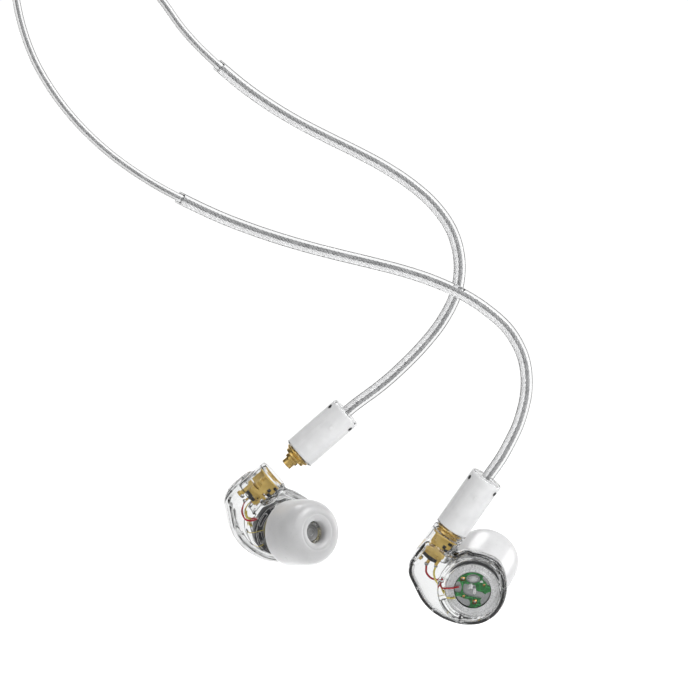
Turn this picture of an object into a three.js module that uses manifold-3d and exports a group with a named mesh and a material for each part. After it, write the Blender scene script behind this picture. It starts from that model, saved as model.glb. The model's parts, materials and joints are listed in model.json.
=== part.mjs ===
// In ear monitors with a detachable clear cable. Millimetres, +Z up, +Y away from the front.
// The set hangs upright: two earpieces at the bottom, each on its own lead, the leads meeting in a
// split above a slider, and the common cable coiled beside them and ending in a headphone plug.
// The origin is the bottom centre of the whole set.
import * as THREE from "three";
import { mergeVertices } from "three/addons/utils/BufferGeometryUtils.js";
import Module from "manifold-3d";

const wasm = await Module();
wasm.setup();
const { degToRad } = THREE.MathUtils;

// ---------------------------------------------------------------- earpiece dimensions
// Earpiece frame: s along the stem, t across, w from the cover to the ear.
const WALL = 1.0; // clear shell wall
const STEM_R = 3.25; // round socket stem
const STEM_END = 6.5;
const STEM_CHAMFER = 0.25;
const SHELL_BACK = -3.1; // parting plane, shell side
const SHELL_FRONT = 3.9; // ear side of the shell
const COVER_IN = -3.2; // parting plane, cover side
const COVER_OUT = -4.0; // flat of the cover
const BOSS_OUT = -4.4; // raised round boss of the cover
const BOSS_R = 5.9;
const PEG = { s: 12.0, t: 11.0, radius: 0.42, end: -1.4 }; // locating peg of the cover
const RIM_DEPTH = 2.4; // how far the rounding of the rim reaches along w
const RIM_IN = 1.7; // and across
const DRIVER_CENTRE = [6.17, 9.93]; // s, t of the round driver chamber
const CAVITY_MIDDLE = 6.6; // s and t about which the ear end of the cavity narrows
const CAVITY_NARROWING = 0.83;

const NOZZLE_BASE = [6.17, 9.5, 3.0];
const NOZZLE_DIRECTION = [-0.55, 0, 0.835];
const NOZZLE_END = 8.7;
const NOZZLE_R = 2.3;
const BARB_R = 2.55;
const BORE_R = 1.7;
const SKIRT_CLEARANCE = { radius: 6.95, base: 1.6 }; // room for the tip's skirt
const CAVITY_CLEARANCE = { radius: 8.2, base: 0.6 }; // kept solid behind that room
const CLEARANCE_END = 16;

const SOCKET_RECESS_R = 2.5;
const SOCKET_RECESS_DEPTH = 0.95;
const SOCKET_BORE_R = 2.6;
const JACK_R = 2.3;

// Outline of the driver chamber without the stem: s, t.
const OUTLINE = [
  [3.2, -3.25], [5, -3.25], [7.2, -3.25], [9, -3.1], [10.9, -2], [12.3, 0.3], [13.6, 2.6],
  [14.4, 4.8], [14.6, 7], [14.4, 9.2], [13.4, 12.2], [11.2, 15.0], [9.3, 16.1], [7.2, 16.6],
  [4.9, 16.4], [2.8, 15.6], [1.2, 14.5], [0.1, 13.2], [-0.8, 11.8], [-1.1, 10.2], [-0.6, 8],
  [0.1, 6.1], [0.5, 3.6], [3.2, 3.4],
];

// ---------------------------------------------------------------- connector and cable dimensions
const HOUSING_R = 3.3;
const HOUSING_L = 12.4;
const BARREL_R = 1.065;
const PLUG_REACH = 3.2; // barrel length in front of the housing
const FLEX_GAP = 0.35; // left open at each flex point, per side

// Where each socket face lies and how it points. direction: x and z of the axis towards the cable.
// tilt: how far that axis leans to -Y. turn: earpiece about its stem. gap: socket to housing.
const SOCKETS = {
  left: {
    face: [-13.27, 0, -25.08],
    direction: [0.753, 0.658],
    tilt: degToRad(4),
    turn: degToRad(-24.5),
    gap: 6.01, // rests pulled out
  },
  right: {
    face: [20.27, 0, -36.0],
    direction: [0.5693, 0.8221],
    tilt: degToRad(10),
    turn: 0,
    gap: 0.43, // plugged in
  },
};

// Radii: outside of the jacket, its bore, and the wires inside.
const LEAD = { jacket: 0.75, bore: 0.48, wires: 0.36 }; // thin upper part of a lead
const SLEEVE = { jacket: 1.15, bore: 0.74, wires: 0.6 }; // thick lower part of a lead
const COMMON = { jacket: 1.1, bore: 0.72, wires: 0.58 };
const CABLE_SIDES = 6;

// ---------------------------------------------------------------- materials
const material = ({ color, roughness, metalness = 0, opacity = 1 }) =>
  new THREE.MeshStandardMaterial({
    color,
    roughness,
    metalness,
    opacity,
    transparent: opacity < 1,
  });
const CLEAR = material({ color: 0xe9eef0, roughness: 0.06, opacity: 0.35 });
const CLEAR_CABLE = material({ color: 0xdfe3e5, roughness: 0.12, opacity: 0.4 });
const WHITE = material({ color: 0xe6e7e8, roughness: 0.4 });
const SILICONE = material({ color: 0xe4e6e8, roughness: 0.5, opacity: 0.9 });
const GOLD = material({ color: 0xc39c50, roughness: 0.28, metalness: 1 });
const BLACK = material({ color: 0x17181a, roughness: 0.5 });
const STEEL = material({ color: 0x9a9c9e, roughness: 0.3, metalness: 1 });
const GREY = material({ color: 0xb0b2b3, roughness: 0.4, metalness: 0.6 });
const GREEN = material({ color: 0x146e2a, roughness: 0.45 });
const RED = material({ color: 0x8c0d12, roughness: 0.4 });
const YELLOW = material({ color: 0xb4a046, roughness: 0.4 });
const SILVER = material({ color: 0xa9abad, roughness: 0.35, metalness: 0.9 });
const PALE = material({ color: 0xd9d6cc, roughness: 0.6 });
const FILM = material({ color: 0xb9b08a, roughness: 0.4 });

// ---------------------------------------------------------------- solids
function solid(geometry) {
  const bare = geometry.clone();
  bare.deleteAttribute("normal");
  bare.deleteAttribute("uv");
  const welded = mergeVertices(bare, 1e-4);
  return new wasm.Manifold(
    new wasm.Mesh({
      numProp: 3,
      vertProperties: new Float32Array(welded.attributes.position.array),
      triVerts: new Uint32Array(welded.index.array),
    }),
  );
}

function geometryOf(manifold) {
  const mesh = manifold.getMesh();
  const geometry = new THREE.BufferGeometry();
  const positions = new Float32Array(mesh.vertProperties);
  geometry.setAttribute("position", new THREE.BufferAttribute(positions, 3));
  geometry.setIndex(new THREE.BufferAttribute(new Uint32Array(mesh.triVerts), 1));
  geometry.computeVertexNormals();
  return geometry;
}

const vectors = (points) => points.map(([x, y]) => new THREE.Vector2(x, y));

// Signed area, positive when the outline runs anticlockwise.
const signedArea = (points) =>
  points.reduce((sum, [x, y], i) => {
    const [nextX, nextY] = points[(i + 1) % points.length];
    return sum + x * nextY - nextX * y;
  }, 0) / 2;

const anticlockwise = (points) => (signedArea(points) < 0 ? [...points].reverse() : points);

// A flat outline (with holes) given thickness along z.
function prism(points, bottom, top, holes = []) {
  const shape = new THREE.Shape(vectors(anticlockwise(points)));
  for (const hole of holes) shape.holes.push(new THREE.Path(vectors(hole)));
  const geometry = new THREE.ExtrudeGeometry(shape, { depth: top - bottom, bevelEnabled: false });
  return geometry.translate(0, 0, bottom);
}

// Turns all faces outward if the enclosed volume comes out negative.
function facingOut(geometry) {
  const loose = geometry.index ? geometry.toNonIndexed() : geometry;
  const position = loose.attributes.position;
  const corners = [new THREE.Vector3(), new THREE.Vector3(), new THREE.Vector3()];
  let volume = 0;
  for (let i = 0; i < position.count; i += 3) {
    const [a, b, c] = corners.map((corner, k) => corner.fromBufferAttribute(position, i + k));
    volume += a.dot(b.cross(c)) / 6;
  }
  if (volume < 0) {
    const { array } = position;
    for (let i = 0; i < array.length; i += 9) {
      for (let k = i + 3; k < i + 6; k++) [array[k], array[k + 3]] = [array[k + 3], array[k]];
    }
  }
  return loose;
}

// A turned piece: profile of [radius, height], axis along z.
function turned(profile, segments = 16) {
  const points = [...anticlockwise(profile)];
  const onAxis = profile[0][0] === 0 && profile[profile.length - 1][0] === 0;
  if (!onAxis) points.push(points[0]);
  const geometry = new THREE.LatheGeometry(vectors(points), segments);
  return facingOut(geometry.rotateX(Math.PI / 2));
}

const tube = (inner, outer, bottom, top, segments) =>
  turned([[inner, bottom], [outer, bottom], [outer, top], [inner, top]], segments);
const cylinder = (radius, bottom, top, segments) => tube(0, radius, bottom, top, segments);

const polygon = (radius, sides, centreX = 0, centreY = 0) =>
  Array.from({ length: sides }, (_, i) => {
    const angle = (2 * Math.PI * i) / sides;
    return [centreX + radius * Math.cos(angle), centreY + radius * Math.sin(angle)];
  });

const arc = (radius, start, end, steps, centreX = 0) =>
  Array.from({ length: steps + 1 }, (_, i) => {
    const angle = start + ((end - start) * i) / steps;
    return [centreX + radius * Math.cos(angle), radius * Math.sin(angle)];
  });

// A cable or wire along a smooth path, solid or hollow.
function swept(path, radius, steps, bore = 0) {
  const points = path.map((point) => new THREE.Vector3(...point));
  const curve = new THREE.CatmullRomCurve3(points, false, "centripetal");
  curve.arcLengthDivisions = 600;
  const shape = new THREE.Shape(vectors(polygon(radius, CABLE_SIDES)));
  if (bore) shape.holes.push(new THREE.Path(vectors(polygon(bore, CABLE_SIDES).reverse())));
  const options = { steps, bevelEnabled: false, extrudePath: curve };
  return facingOut(new THREE.ExtrudeGeometry(shape, options));
}

// A box from its lowest and highest corners.
function block(low, high) {
  const size = high.map((value, i) => value - low[i]);
  const centre = high.map((value, i) => (low[i] + value) / 2);
  return new THREE.BoxGeometry(...size).translate(...centre);
}

// An anticlockwise outline moved in along each corner's mean normal.
function inset(points, distance) {
  const count = points.length;
  return points.map(([x, y], i) => {
    const [beforeX, beforeY] = points[(i + count - 1) % count];
    const [afterX, afterY] = points[(i + 1) % count];
    const arriving = new THREE.Vector2(x - beforeX, y - beforeY).normalize();
    const leaving = new THREE.Vector2(afterX - x, afterY - y).normalize();
    const sum = arriving.clone().add(leaving);
    const normal = new THREE.Vector2(-sum.y, sum.x).normalize();
    // the corner moves further than its edges, at most twice as far
    const reach = distance / Math.max(0.5, arriving.cross(normal));
    return [x + normal.x * reach, y + normal.y * reach];
  });
}

// ---------------------------------------------------------------- scene and frames
const root = new THREE.Group();
const stage = new THREE.Group();
root.add(stage);

function add(group, name, geometry, surface) {
  const mesh = new THREE.Mesh(geometry, surface);
  mesh.name = name;
  group.add(mesh);
}

// Adds a list of [name, geometry, material].
function addPieces(group, prefix, pieces) {
  for (const [name, geometry, surface] of pieces) add(group, prefix + name, geometry, surface);
}

// A jacket and the wires inside it.
function addCable(jacketName, wiresName, path, radii, steps) {
  add(stage, jacketName, swept(path, radii.jacket, steps, radii.bore), CLEAR_CABLE);
  add(stage, wiresName, swept(path, radii.wires, steps), SILVER);
}

// Unit vector from a socket towards its cable.
function socketAxis({ direction: [x, z], tilt }) {
  const level = Math.cos(tilt);
  return new THREE.Vector3(x * level, -Math.sin(tilt), z * level).normalize();
}

// The point at a distance beyond a connector's front, along its axis.
function behindPlugFront(side, distance) {
  const { face, gap } = SOCKETS[side];
  const axis = socketAxis(SOCKETS[side]);
  return new THREE.Vector3(...face).addScaledVector(axis, gap).addScaledVector(axis, distance);
}

// The s, t, w frame of an earpiece, with its origin on the socket face.
function earFrame(side) {
  const socket = SOCKETS[side];
  const [x, z] = socket.direction;
  const stem = socketAxis(socket).negate();
  const across = new THREE.Vector3(z, 0, -x).normalize();
  const toEar = new THREE.Vector3().crossVectors(stem, across).normalize();
  // the right earpiece mirrors the left: its left-handed frame decomposes to a negative scale
  if (side === "right") toEar.negate();
  const cos = Math.cos(socket.turn);
  const sin = Math.sin(socket.turn);
  const turnedAcross = across.clone().multiplyScalar(cos).addScaledVector(toEar, sin);
  const turnedToEar = across.clone().multiplyScalar(-sin).addScaledVector(toEar, cos);
  const matrix = new THREE.Matrix4().makeBasis(stem, turnedAcross, turnedToEar);
  matrix.setPosition(...socket.face);
  const frame = new THREE.Group();
  matrix.decompose(frame.position, frame.quaternion, frame.scale);
  return frame;
}

// A group whose z axis points along a direction.
function axisFrame(origin, direction) {
  const frame = new THREE.Group();
  frame.position.copy(origin);
  frame.quaternion.setFromUnitVectors(new THREE.Vector3(0, 0, 1), direction.clone().normalize());
  return frame;
}

const nozzleFrame = axisFrame(
  new THREE.Vector3(...NOZZLE_BASE),
  new THREE.Vector3(...NOZZLE_DIRECTION),
);
nozzleFrame.updateMatrix();

// These three move a turned piece from the z axis to its place in the earpiece.
const onNozzle = (geometry) => geometry.applyMatrix4(nozzleFrame.matrix);
const alongStem = (geometry) => geometry.rotateY(Math.PI / 2);
const atDriver = (geometry) => geometry.translate(...DRIVER_CENTRE, 0);

// ---------------------------------------------------------------- shell and cover
// Driver chamber with both rims rounded over, before it is parted into shell and cover.
function chamberBlank() {
  const geometry = new THREE.ExtrudeGeometry(new THREE.Shape(vectors(OUTLINE)), {
    depth: SHELL_FRONT - COVER_OUT - 2 * RIM_DEPTH,
    bevelEnabled: true,
    bevelThickness: RIM_DEPTH,
    bevelSize: RIM_IN,
    bevelOffset: -RIM_IN,
    bevelSegments: 2,
  });
  return solid(geometry.translate(0, 0, COVER_OUT + RIM_DEPTH));
}

// Round stem that holds the socket, cut off at the parting plane.
function socketStem() {
  const profile = [
    [0, 0], [STEM_R - STEM_CHAMFER, 0], [STEM_R, STEM_CHAMFER], [STEM_R, STEM_END], [0, STEM_END],
  ];
  const shellSide = solid(block([-1, -5, SHELL_BACK], [8, 5, 5]));
  return solid(alongStem(turned(profile))).intersect(shellSide);
}

const nozzleClearance = ({ radius, base }) =>
  solid(onNozzle(cylinder(radius, base, CLEARANCE_END, 18)));

// Hollow of the shell: full width at the back, narrower towards the ear.
function shellCavity() {
  const inside = inset(OUTLINE, WALL);
  const narrow = inside.map((point) =>
    point.map((value) => CAVITY_MIDDLE + (value - CAVITY_MIDDLE) * CAVITY_NARROWING),
  );
  return solid(prism(inside, SHELL_BACK - 5, 1.3))
    .add(solid(prism(narrow, 1.2, SHELL_FRONT - WALL)))
    .subtract(solid(block([-3, -5, -6], [5.4, 3.7, 6]))) // solid around the stem
    .subtract(nozzleClearance(CAVITY_CLEARANCE));
}

// Recess for the plug's flange, then the bore that holds the jack.
function socketHollow() {
  const profile = [
    [0, -1], [SOCKET_RECESS_R, -1], [SOCKET_RECESS_R, SOCKET_RECESS_DEPTH],
    [SOCKET_BORE_R, SOCKET_RECESS_DEPTH], [SOCKET_BORE_R, 6], [0, 6],
  ];
  return solid(alongStem(turned(profile, 12)));
}

function nozzleNeck() {
  const profile = [
    [0, -0.3], [3.4, -0.3], [3.4, 1.0], [2.75, 2.6], [NOZZLE_R, 3.4], [NOZZLE_R, 6.6],
    [BARB_R, 7.0], [BARB_R, 7.6], [NOZZLE_R, NOZZLE_END], [0, NOZZLE_END],
  ];
  return solid(onNozzle(turned(profile, 14)));
}

function shellBody() {
  const body = chamberBlank()
    .intersect(solid(block([-60, -60, SHELL_BACK], [60, 60, 9])))
    .add(socketStem())
    .subtract(nozzleClearance(SKIRT_CLEARANCE))
    .subtract(shellCavity())
    .subtract(socketHollow())
    .add(nozzleNeck())
    .subtract(solid(onNozzle(cylinder(BORE_R, -4, NOZZLE_END + 1, 14))));
  return geometryOf(body);
}

function faceCover() {
  const boss = prism(polygon(BOSS_R, 24, ...DRIVER_CENTRE), BOSS_OUT, COVER_OUT + 0.5);
  const peg = prism(polygon(PEG.radius, 10, PEG.s, PEG.t), COVER_IN - 0.3, PEG.end);
  const cover = chamberBlank()
    .intersect(solid(block([-60, -60, -9], [60, 60, COVER_IN])))
    .add(solid(boss))
    .add(solid(peg));
  return geometryOf(cover);
}

// Outer skirt, rounded mouth, then the inner sleeve that grips the nozzle.
function eartip() {
  const profile = [
    [6.3, 2.1], [6.4, 4.5], [6.35, 7.2], [6.15, 8.9], [5.6, 10.0], [4.4, 10.72], [3.2, 10.5],
    [2.2, 10.15], [2.15, 9.05], [2.68, 8.9], [2.68, 3.8], [3.3, 3.8], [3.35, 8.8], [4.4, 9.7],
    [5.2, 9.0], [5.7, 8.0], [5.85, 5.5], [5.75, 2.1],
  ];
  return onNozzle(turned(profile));
}

// ---------------------------------------------------------------- drivers and board
function driverBasket() {
  const profile = [
    [3.7, -2.1], [5.2, -2.1], [5.2, -0.55], [4.95, -0.25], [4.8, -0.25], [4.8, -1.6], [3.7, -1.6],
  ];
  return atDriver(turned(profile, 18));
}

// Cup with a centre pole.
function magnetCup() {
  const profile = [
    [0, -2.4], [3.5, -2.4], [3.5, -1.35], [3.0, -1.35], [3.0, -1.9], [2.4, -1.9], [2.4, -1.25],
    [0, -1.25],
  ];
  return atDriver(turned(profile, 12));
}

function diaphragm() {
  const profile = [
    [0, -0.55], [2.2, -0.68], [2.7, -0.95], [3.7, -0.7], [4.62, -0.85],
    [4.62, -0.72], [3.7, -0.55], [2.7, -0.8], [2.2, -0.5], [0, -0.38],
  ];
  return atDriver(turned(profile, 12));
}

// Round board with four openings.
function crossoverBoard() {
  const [centreS, centreT] = DRIVER_CENTRE;
  // corners of each opening, from the board's centre
  const openings = [
    [[-2.6, 0.4], [-1.2, 1.0], [-0.9, 2.2], [-2.2, 2.1]],
    [[0.6, 1.1], [2.3, 0.9], [2.0, 2.3], [0.9, 2.5]],
    [[-1.9, -2.2], [-0.5, -2.6], [-0.3, -1.3], [-1.6, -0.9]],
    [[1.3, -1.9], [2.5, -1.5], [2.4, -0.5], [1.4, -0.8]],
  ];
  const holes = openings.map((corners) => corners.map(([s, t]) => [centreS + s, centreT + t]));
  return prism(polygon(3.5, 18, centreS, centreT), -3.0, -2.6, holes);
}

// ---------------------------------------------------------------- jack and its wires
// Socket body with a lug and a longer prong on each side.
function jackBody() {
  const profile = [
    [JACK_R, 1.0], [JACK_R, 3.9], [1.9, 4.0], [1.9, 5.8], [0.9, 5.8], [0.9, 3.6], [1.3, 3.5],
    [1.3, 1.85], [1.65, 1.7], [1.65, 1.0],
  ];
  const blocks = [
    [[4.25, -2.2, -1.2], [4.95, -1.6, 1.2]],
    [[4.25, 1.6, -1.2], [4.95, 2.2, 1.2]],
    [[5.3, -1.85, -0.55], [7.6, -1.25, 0.55]],
    [[5.3, 1.3, -0.8], [6.9, 1.8, 0.8]],
  ];
  const barrel = solid(alongStem(turned(profile, 12)));
  return geometryOf(
    blocks.reduce((body, [low, high]) => body.add(solid(block(low, high))), barrel),
  );
}

function jackInsulator() {
  const profile = [[0.8, 4.1], [0.8, 6.3], [0.42, 6.3], [0.42, 5.2], [0.65, 5.0], [0.65, 4.1]];
  return alongStem(turned(profile, 12));
}

// Centre contact: cup towards the plug, pin towards the wires.
function jackContact() {
  const profile = [
    [0, 4.05], [0.38, 4.05], [0.38, 3.3], [0.57, 3.3], [0.57, 4.6], [0.32, 4.7], [0.32, 7.5],
    [0, 7.5],
  ];
  return alongStem(turned(profile, 12));
}

// Centre lines of the two wires inside the shell: s, t, w.
const HOOKUP_R = 0.2;
const RED_PATH = [
  [7.85, 0.0, 0.1], [8.6, 0.45, 0.5], [9.4, 1.0, 0.9], [9.8, 2.3, 1.1], [9.3, 3.6, 0.9],
  [8.3, 4.2, 0.6],
];
const YELLOW_PATH = [
  [7.15, 1.75, -0.6], [8.0, 2.0, -1.0], [8.8, 2.7, -1.2], [9.3, 3.6, -1.3], [9.3, 4.6, -1.4],
];

// ---------------------------------------------------------------- earpieces
const EARPIECE = [
  ["shell_body", shellBody(), CLEAR],
  ["face_cover", faceCover(), CLEAR],
  ["nozzle_screen", onNozzle(cylinder(1.58, 8.15, 8.4, 16)), STEEL],
  ["eartip", eartip(), SILICONE],
  ["driver_basket", driverBasket(), BLACK],
  ["magnet_cup", magnetCup(), STEEL],
  ["diaphragm", diaphragm(), FILM],
  ["back_ring", atDriver(tube(3.7, 5.0, -3.05, -2.55, 18)), GREY],
  ["crossover_board", crossoverBoard(), GREEN],
  ["balanced_armature", block([7.0, 8.5, 0.2], [10.7, 11.1, 1.7]), STEEL],
  ["jack_body", jackBody(), GOLD],
  ["jack_insulator", jackInsulator(), BLACK],
  ["jack_contact", jackContact(), GOLD],
  ["red_wire", swept(RED_PATH, HOOKUP_R, 10), RED],
  ["yellow_wire", swept(YELLOW_PATH, HOOKUP_R, 9), YELLOW],
];

for (const side of ["left", "right"]) {
  const frame = earFrame(side);
  frame.name = side + "_ear_frame";
  stage.add(frame);
  addPieces(frame, side + "_", EARPIECE);
}

// ---------------------------------------------------------------- connectors
// Axis z from the plug towards the cable, z = 0 at the front of the housing.
function connectorShell() {
  return turned([
    [2.95, 0], [HOUSING_R, 0.35], [HOUSING_R, HOUSING_L - 0.35], [2.95, HOUSING_L],
    [1.5, HOUSING_L], [1.5, HOUSING_L - 0.7], [2.75, HOUSING_L - 0.7], [2.75, 0.6], [2.2, 0.6],
    [2.2, 0],
  ]);
}

function connectorCore() {
  const end = HOUSING_L - 0.85;
  return turned([[2.15, 0.75], [2.6, 0.75], [2.6, end], [1.45, end], [1.45, 5.0], [2.15, 4.6]]);
}

// Barrel, stepped flange and the hollow body inside the housing.
function plugBody() {
  const profile = [
    [BARREL_R, -PLUG_REACH], [BARREL_R, -1.15], [2.165, -1.15], [2.165, -0.38], [2.75, -0.38],
    [2.75, -0.08], [2.0, -0.08], [2.0, 4.2], [0.8, 4.2], [0.8, -PLUG_REACH],
  ];
  return turned(profile, 12);
}

// Split ring: an arc of 310 degrees with square ends.
function lockRing() {
  const start = degToRad(25);
  const end = degToRad(335);
  const outline = [...arc(1.45, start, end, 16), ...arc(1.14, start, end, 16).reverse()];
  return prism(outline, -1.95, -1.35);
}

const CONNECTOR = [
  ["connector_shell", connectorShell(), CLEAR],
  ["connector_core", connectorCore(), WHITE],
  ["plug_body", plugBody(), GOLD],
  ["plug_insulator", tube(0.36, 0.68, -2.3, 4.0, 12), PALE],
  ["plug_pin", turned([[0, -3.75], [0.25, -3.6], [0.25, 4.6], [0, 4.6]], 10), GOLD],
  ["lock_ring", lockRing(), GOLD],
];

for (const side of ["left", "right"]) {
  const frame = axisFrame(behindPlugFront(side, 0), socketAxis(SOCKETS[side]));
  frame.name = side + "_connector_frame";
  stage.add(frame);
  addPieces(frame, side + "_", CONNECTOR);
}

// ---------------------------------------------------------------- leads
// Centre lines, top first: x, y, z. flex is the open point between the thin and thick parts.
const LEADS = {
  right: {
    upper: [
      [-65.2, 0, 134], [-65.2, 0, 128], [-65.2, 0, 120], [-65.2, 0, 112], [-65.2, 0, 106],
      [-65.1, 0, 98], [-64.9, 0, 90], [-64.5, 0, 82], [-63.9, 0, 74], [-62.99, 0, 65.86],
      [-61.6, 0, 60.04], [-59.45, 0, 54.45], [-56.48, 0, 49.25], [-52.92, 0, 44.42],
      [-48.84, 0, 40.03], [-44.33, 0, 36.07], [-39.45, -0.1, 32.58], [-36.0, -0.15, 30.45],
    ],
    flex: [-31.6, -0.3, 28.07],
    lower: [
      [-28.95, -0.4, 26.75], [-23.49, -0.7, 24.25], [-17.89, -1.1, 22.09], [-12.2, -1.6, 20.17],
      [-6.44, -2.2, 18.48], [-0.62, -2.8, 16.98], [5.21, -3.3, 15.57], [11.01, -3.7, 14.07],
      [16.72, -3.9, 12.2], [22.21, -4.0, 9.75], [27.26, -4.0, 6.55], [31.66, -3.95, 2.45],
      [34.37, -3.85, -2.85], [34.9, -3.75, -8.82], [33.58, -3.6, -14.7], [32.0, -3.35, -18.3],
    ],
    upperSteps: 17,
    lowerSteps: 22,
  },
  left: {
    upper: [
      [-63.0, 0, 134], [-63.0, 0, 128], [-63.0, 0, 120], [-63.0, 0, 112], [-62.7, 0, 106],
      [-60.6, 0, 99], [-56.6, 0, 91.5], [-51.3, 0, 84.5], [-45.6, 0, 78], [-40.0, 0, 72.1],
      [-34.86, 0, 65.88], [-31.37, 0, 61.01], [-28.2, 0, 57.4],
    ],
    flex: [-24.1, 0, 53.48],
    lower: [
      [-22.0, 0.02, 51.7], [-18.28, 0.05, 48.72], [-13.33, 0.1, 45.33], [-8.16, 0.15, 42.29],
      [-2.82, 0.2, 39.55], [2.57, 0.25, 36.89], [7.84, 0.3, 34.04], [12.85, 0.35, 30.72],
      [17.33, 0.4, 26.73], [20.73, 0.4, 21.8], [22.22, 0.4, 15.98], [21.6, 0.3, 10.0],
      [18.92, 0.1, 4.5], [15.2, -0.4, -0.26], [10.97, -0.95, -4.58], [7.2, -1.35, -7.9],
    ],
    upperSteps: 14,
    lowerSteps: 20,
  },
};
// The last stretch follows the connector's axis: distances behind the housing front.
const HOUSING_ENTRY = [17.0, 12.6, 8.6];

// The point a distance from one point towards another.
function pointTowards(from, to, distance) {
  const start = new THREE.Vector3(...from);
  const direction = new THREE.Vector3(...to).sub(start).normalize();
  return start.addScaledVector(direction, distance).toArray();
}

for (const [side, { upper, flex, lower, upperSteps, lowerSteps }] of Object.entries(LEADS)) {
  const thin = [...upper, pointTowards(flex, upper[upper.length - 1], FLEX_GAP)];
  const entry = HOUSING_ENTRY.map((distance) => behindPlugFront(side, distance).toArray());
  const thick = [pointTowards(flex, lower[0], FLEX_GAP), ...lower, ...entry];
  addCable(side + "_lead_jacket", side + "_lead_wires", thin, LEAD, upperSteps);
  addCable(side + "_lead_sleeve", side + "_sleeve_wires", thick, SLEEVE, lowerSteps);
  const flexPoint = new THREE.Group();
  flexPoint.name = side + "_flex_point";
  flexPoint.position.set(...flex);
  stage.add(flexPoint);
}

// ---------------------------------------------------------------- slider and split
const LEAD_X = [-65.2, -63.0];
const SPLIT_X = (LEAD_X[0] + LEAD_X[1]) / 2;
const LEAD_HOLE_R = 0.98;
const SLIDER_Z = [108, 115];
const SLIDER_R = 1.95; // rounded ends
const SLIDER_SPREAD = 0.25; // centres of the ends beyond the lead holes
const SPLIT_Z = [132, 145];

const leadHoles = LEAD_X.map((x) => polygon(LEAD_HOLE_R, 10, x, 0));

function cableSlider() {
  const quarter = Math.PI / 2;
  const outline = [
    ...arc(SLIDER_R, -quarter, quarter, 6, LEAD_X[1] + SLIDER_SPREAD),
    ...arc(SLIDER_R, quarter, 3 * quarter, 6, LEAD_X[0] - SLIDER_SPREAD),
  ];
  return prism(outline, ...SLIDER_Z, leadHoles);
}

// Two holes for the leads below, one for the common cable above.
function ySplit() {
  const [bottom, top] = SPLIT_Z;
  const profile = [[0, 0], [2.7, 0], [3.0, 0.5], [3.0, 8], [2.1, 12.6], [2.0, 13], [0, 13]];
  let split = solid(turned(profile, 14).translate(SPLIT_X, 0, bottom));
  for (const hole of leadHoles) split = split.subtract(solid(prism(hole, bottom - 1, bottom + 4)));
  split = split.subtract(solid(prism(polygon(1.3, 12, SPLIT_X, 0), top - 5, top + 1)));
  return geometryOf(split);
}

add(stage, "cable_slider", cableSlider(), CLEAR);
add(stage, "y_split", ySplit(), CLEAR);

// ---------------------------------------------------------------- common cable
const COIL = { x: 0, z: 112, radius: 27, sweep: 850, step: 17, pitch: 2.5 }; // angles in degrees
const COIL_END_Y = COIL.pitch * (COIL.sweep / 360);
const PLUG_X = 47;
const PLUG_Y = COIL_END_Y - 0.6;

// One point of the coil, a number of turns from its start at the -X side.
// The small sine terms let the radius and centre wander so the turns don't coincide.
function coilPoint(turns) {
  const angle = Math.PI + 2 * Math.PI * turns;
  const radius = COIL.radius + 0.8 * Math.sin(turns * 4.1);
  return [
    COIL.x + radius * Math.cos(angle) + 0.5 * Math.sin(turns * 2.7),
    COIL.pitch * turns,
    COIL.z + radius * Math.sin(angle) + 0.6 * Math.sin(turns * 3.3),
  ];
}

// Up out of the split, over the top, round the coil and up into the plug.
function commonPath() {
  const path = [
    [SPLIT_X, 0, SPLIT_Z[1] - 4], [SPLIT_X, 0, SPLIT_Z[1] + 1.5], [SPLIT_X + 1.2, 0, 152],
    [SPLIT_X + 6.5, 0, 160], [SPLIT_X + 16, 0, 163.5], [SPLIT_X + 25.5, 0, 159.5],
    [SPLIT_X + 32, 0, 149.5], [SPLIT_X + 35.3, 0, 136], [-27.6, 0, 123],
  ];
  for (let angle = 0; angle <= COIL.sweep; angle += COIL.step) path.push(coilPoint(angle / 360));
  path.push(
    [29.5, COIL_END_Y + 0.3, 97.5], [39, COIL_END_Y, 106.5], [44.6, COIL_END_Y - 0.4, 116.5],
    [PLUG_X, PLUG_Y, 127], [PLUG_X, PLUG_Y, 134],
  );
  return path;
}
addCable("main_jacket", "main_wires", commonPath(), COMMON, 64);

// ---------------------------------------------------------------- headphone plug, axis z
const PLUG_Z = 128; // lower end of the strain relief
const TOP = 24; // top of the plug housing, in the plug's frame

function plugHousing() {
  const profile = [
    [1.4, 0], [2.1, 0], [2.6, 7], [3.7, 8.2], [4.0, 9.2], [4.0, TOP - 1], [3.6, TOP],
    [2.1, TOP], [2.1, 12], [1.4, 11],
  ];
  return turned(profile, 14);
}

function sleeveContact() {
  const profile = [
    [1.35, 14], [1.95, 14], [1.95, TOP + 0.1], [1.75, TOP + 0.2], [1.75, TOP + 8.0],
    [1.35, TOP + 8.0],
  ];
  return turned(profile, 12);
}

// Inner tube with a collar on each side of the ring contact.
function contactInsulator() {
  const profile = [
    [0.72, 15], [1.25, 15], [1.25, TOP + 8.1], [1.72, TOP + 8.1], [1.72, TOP + 8.6],
    [0.95, TOP + 8.6], [0.95, TOP + 10.6], [1.7, TOP + 10.6], [1.7, TOP + 11.0],
    [0.72, TOP + 11.0],
  ];
  return turned(profile, 12);
}

function tipContact() {
  const profile = [
    [0, 15.5], [0.62, 15.5], [0.62, TOP + 11.1], [1.7, TOP + 11.1], [1.25, TOP + 11.9],
    [1.65, TOP + 12.6], [0.9, TOP + 13.9], [0, TOP + 14.2],
  ];
  return turned(profile, 12);
}

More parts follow.
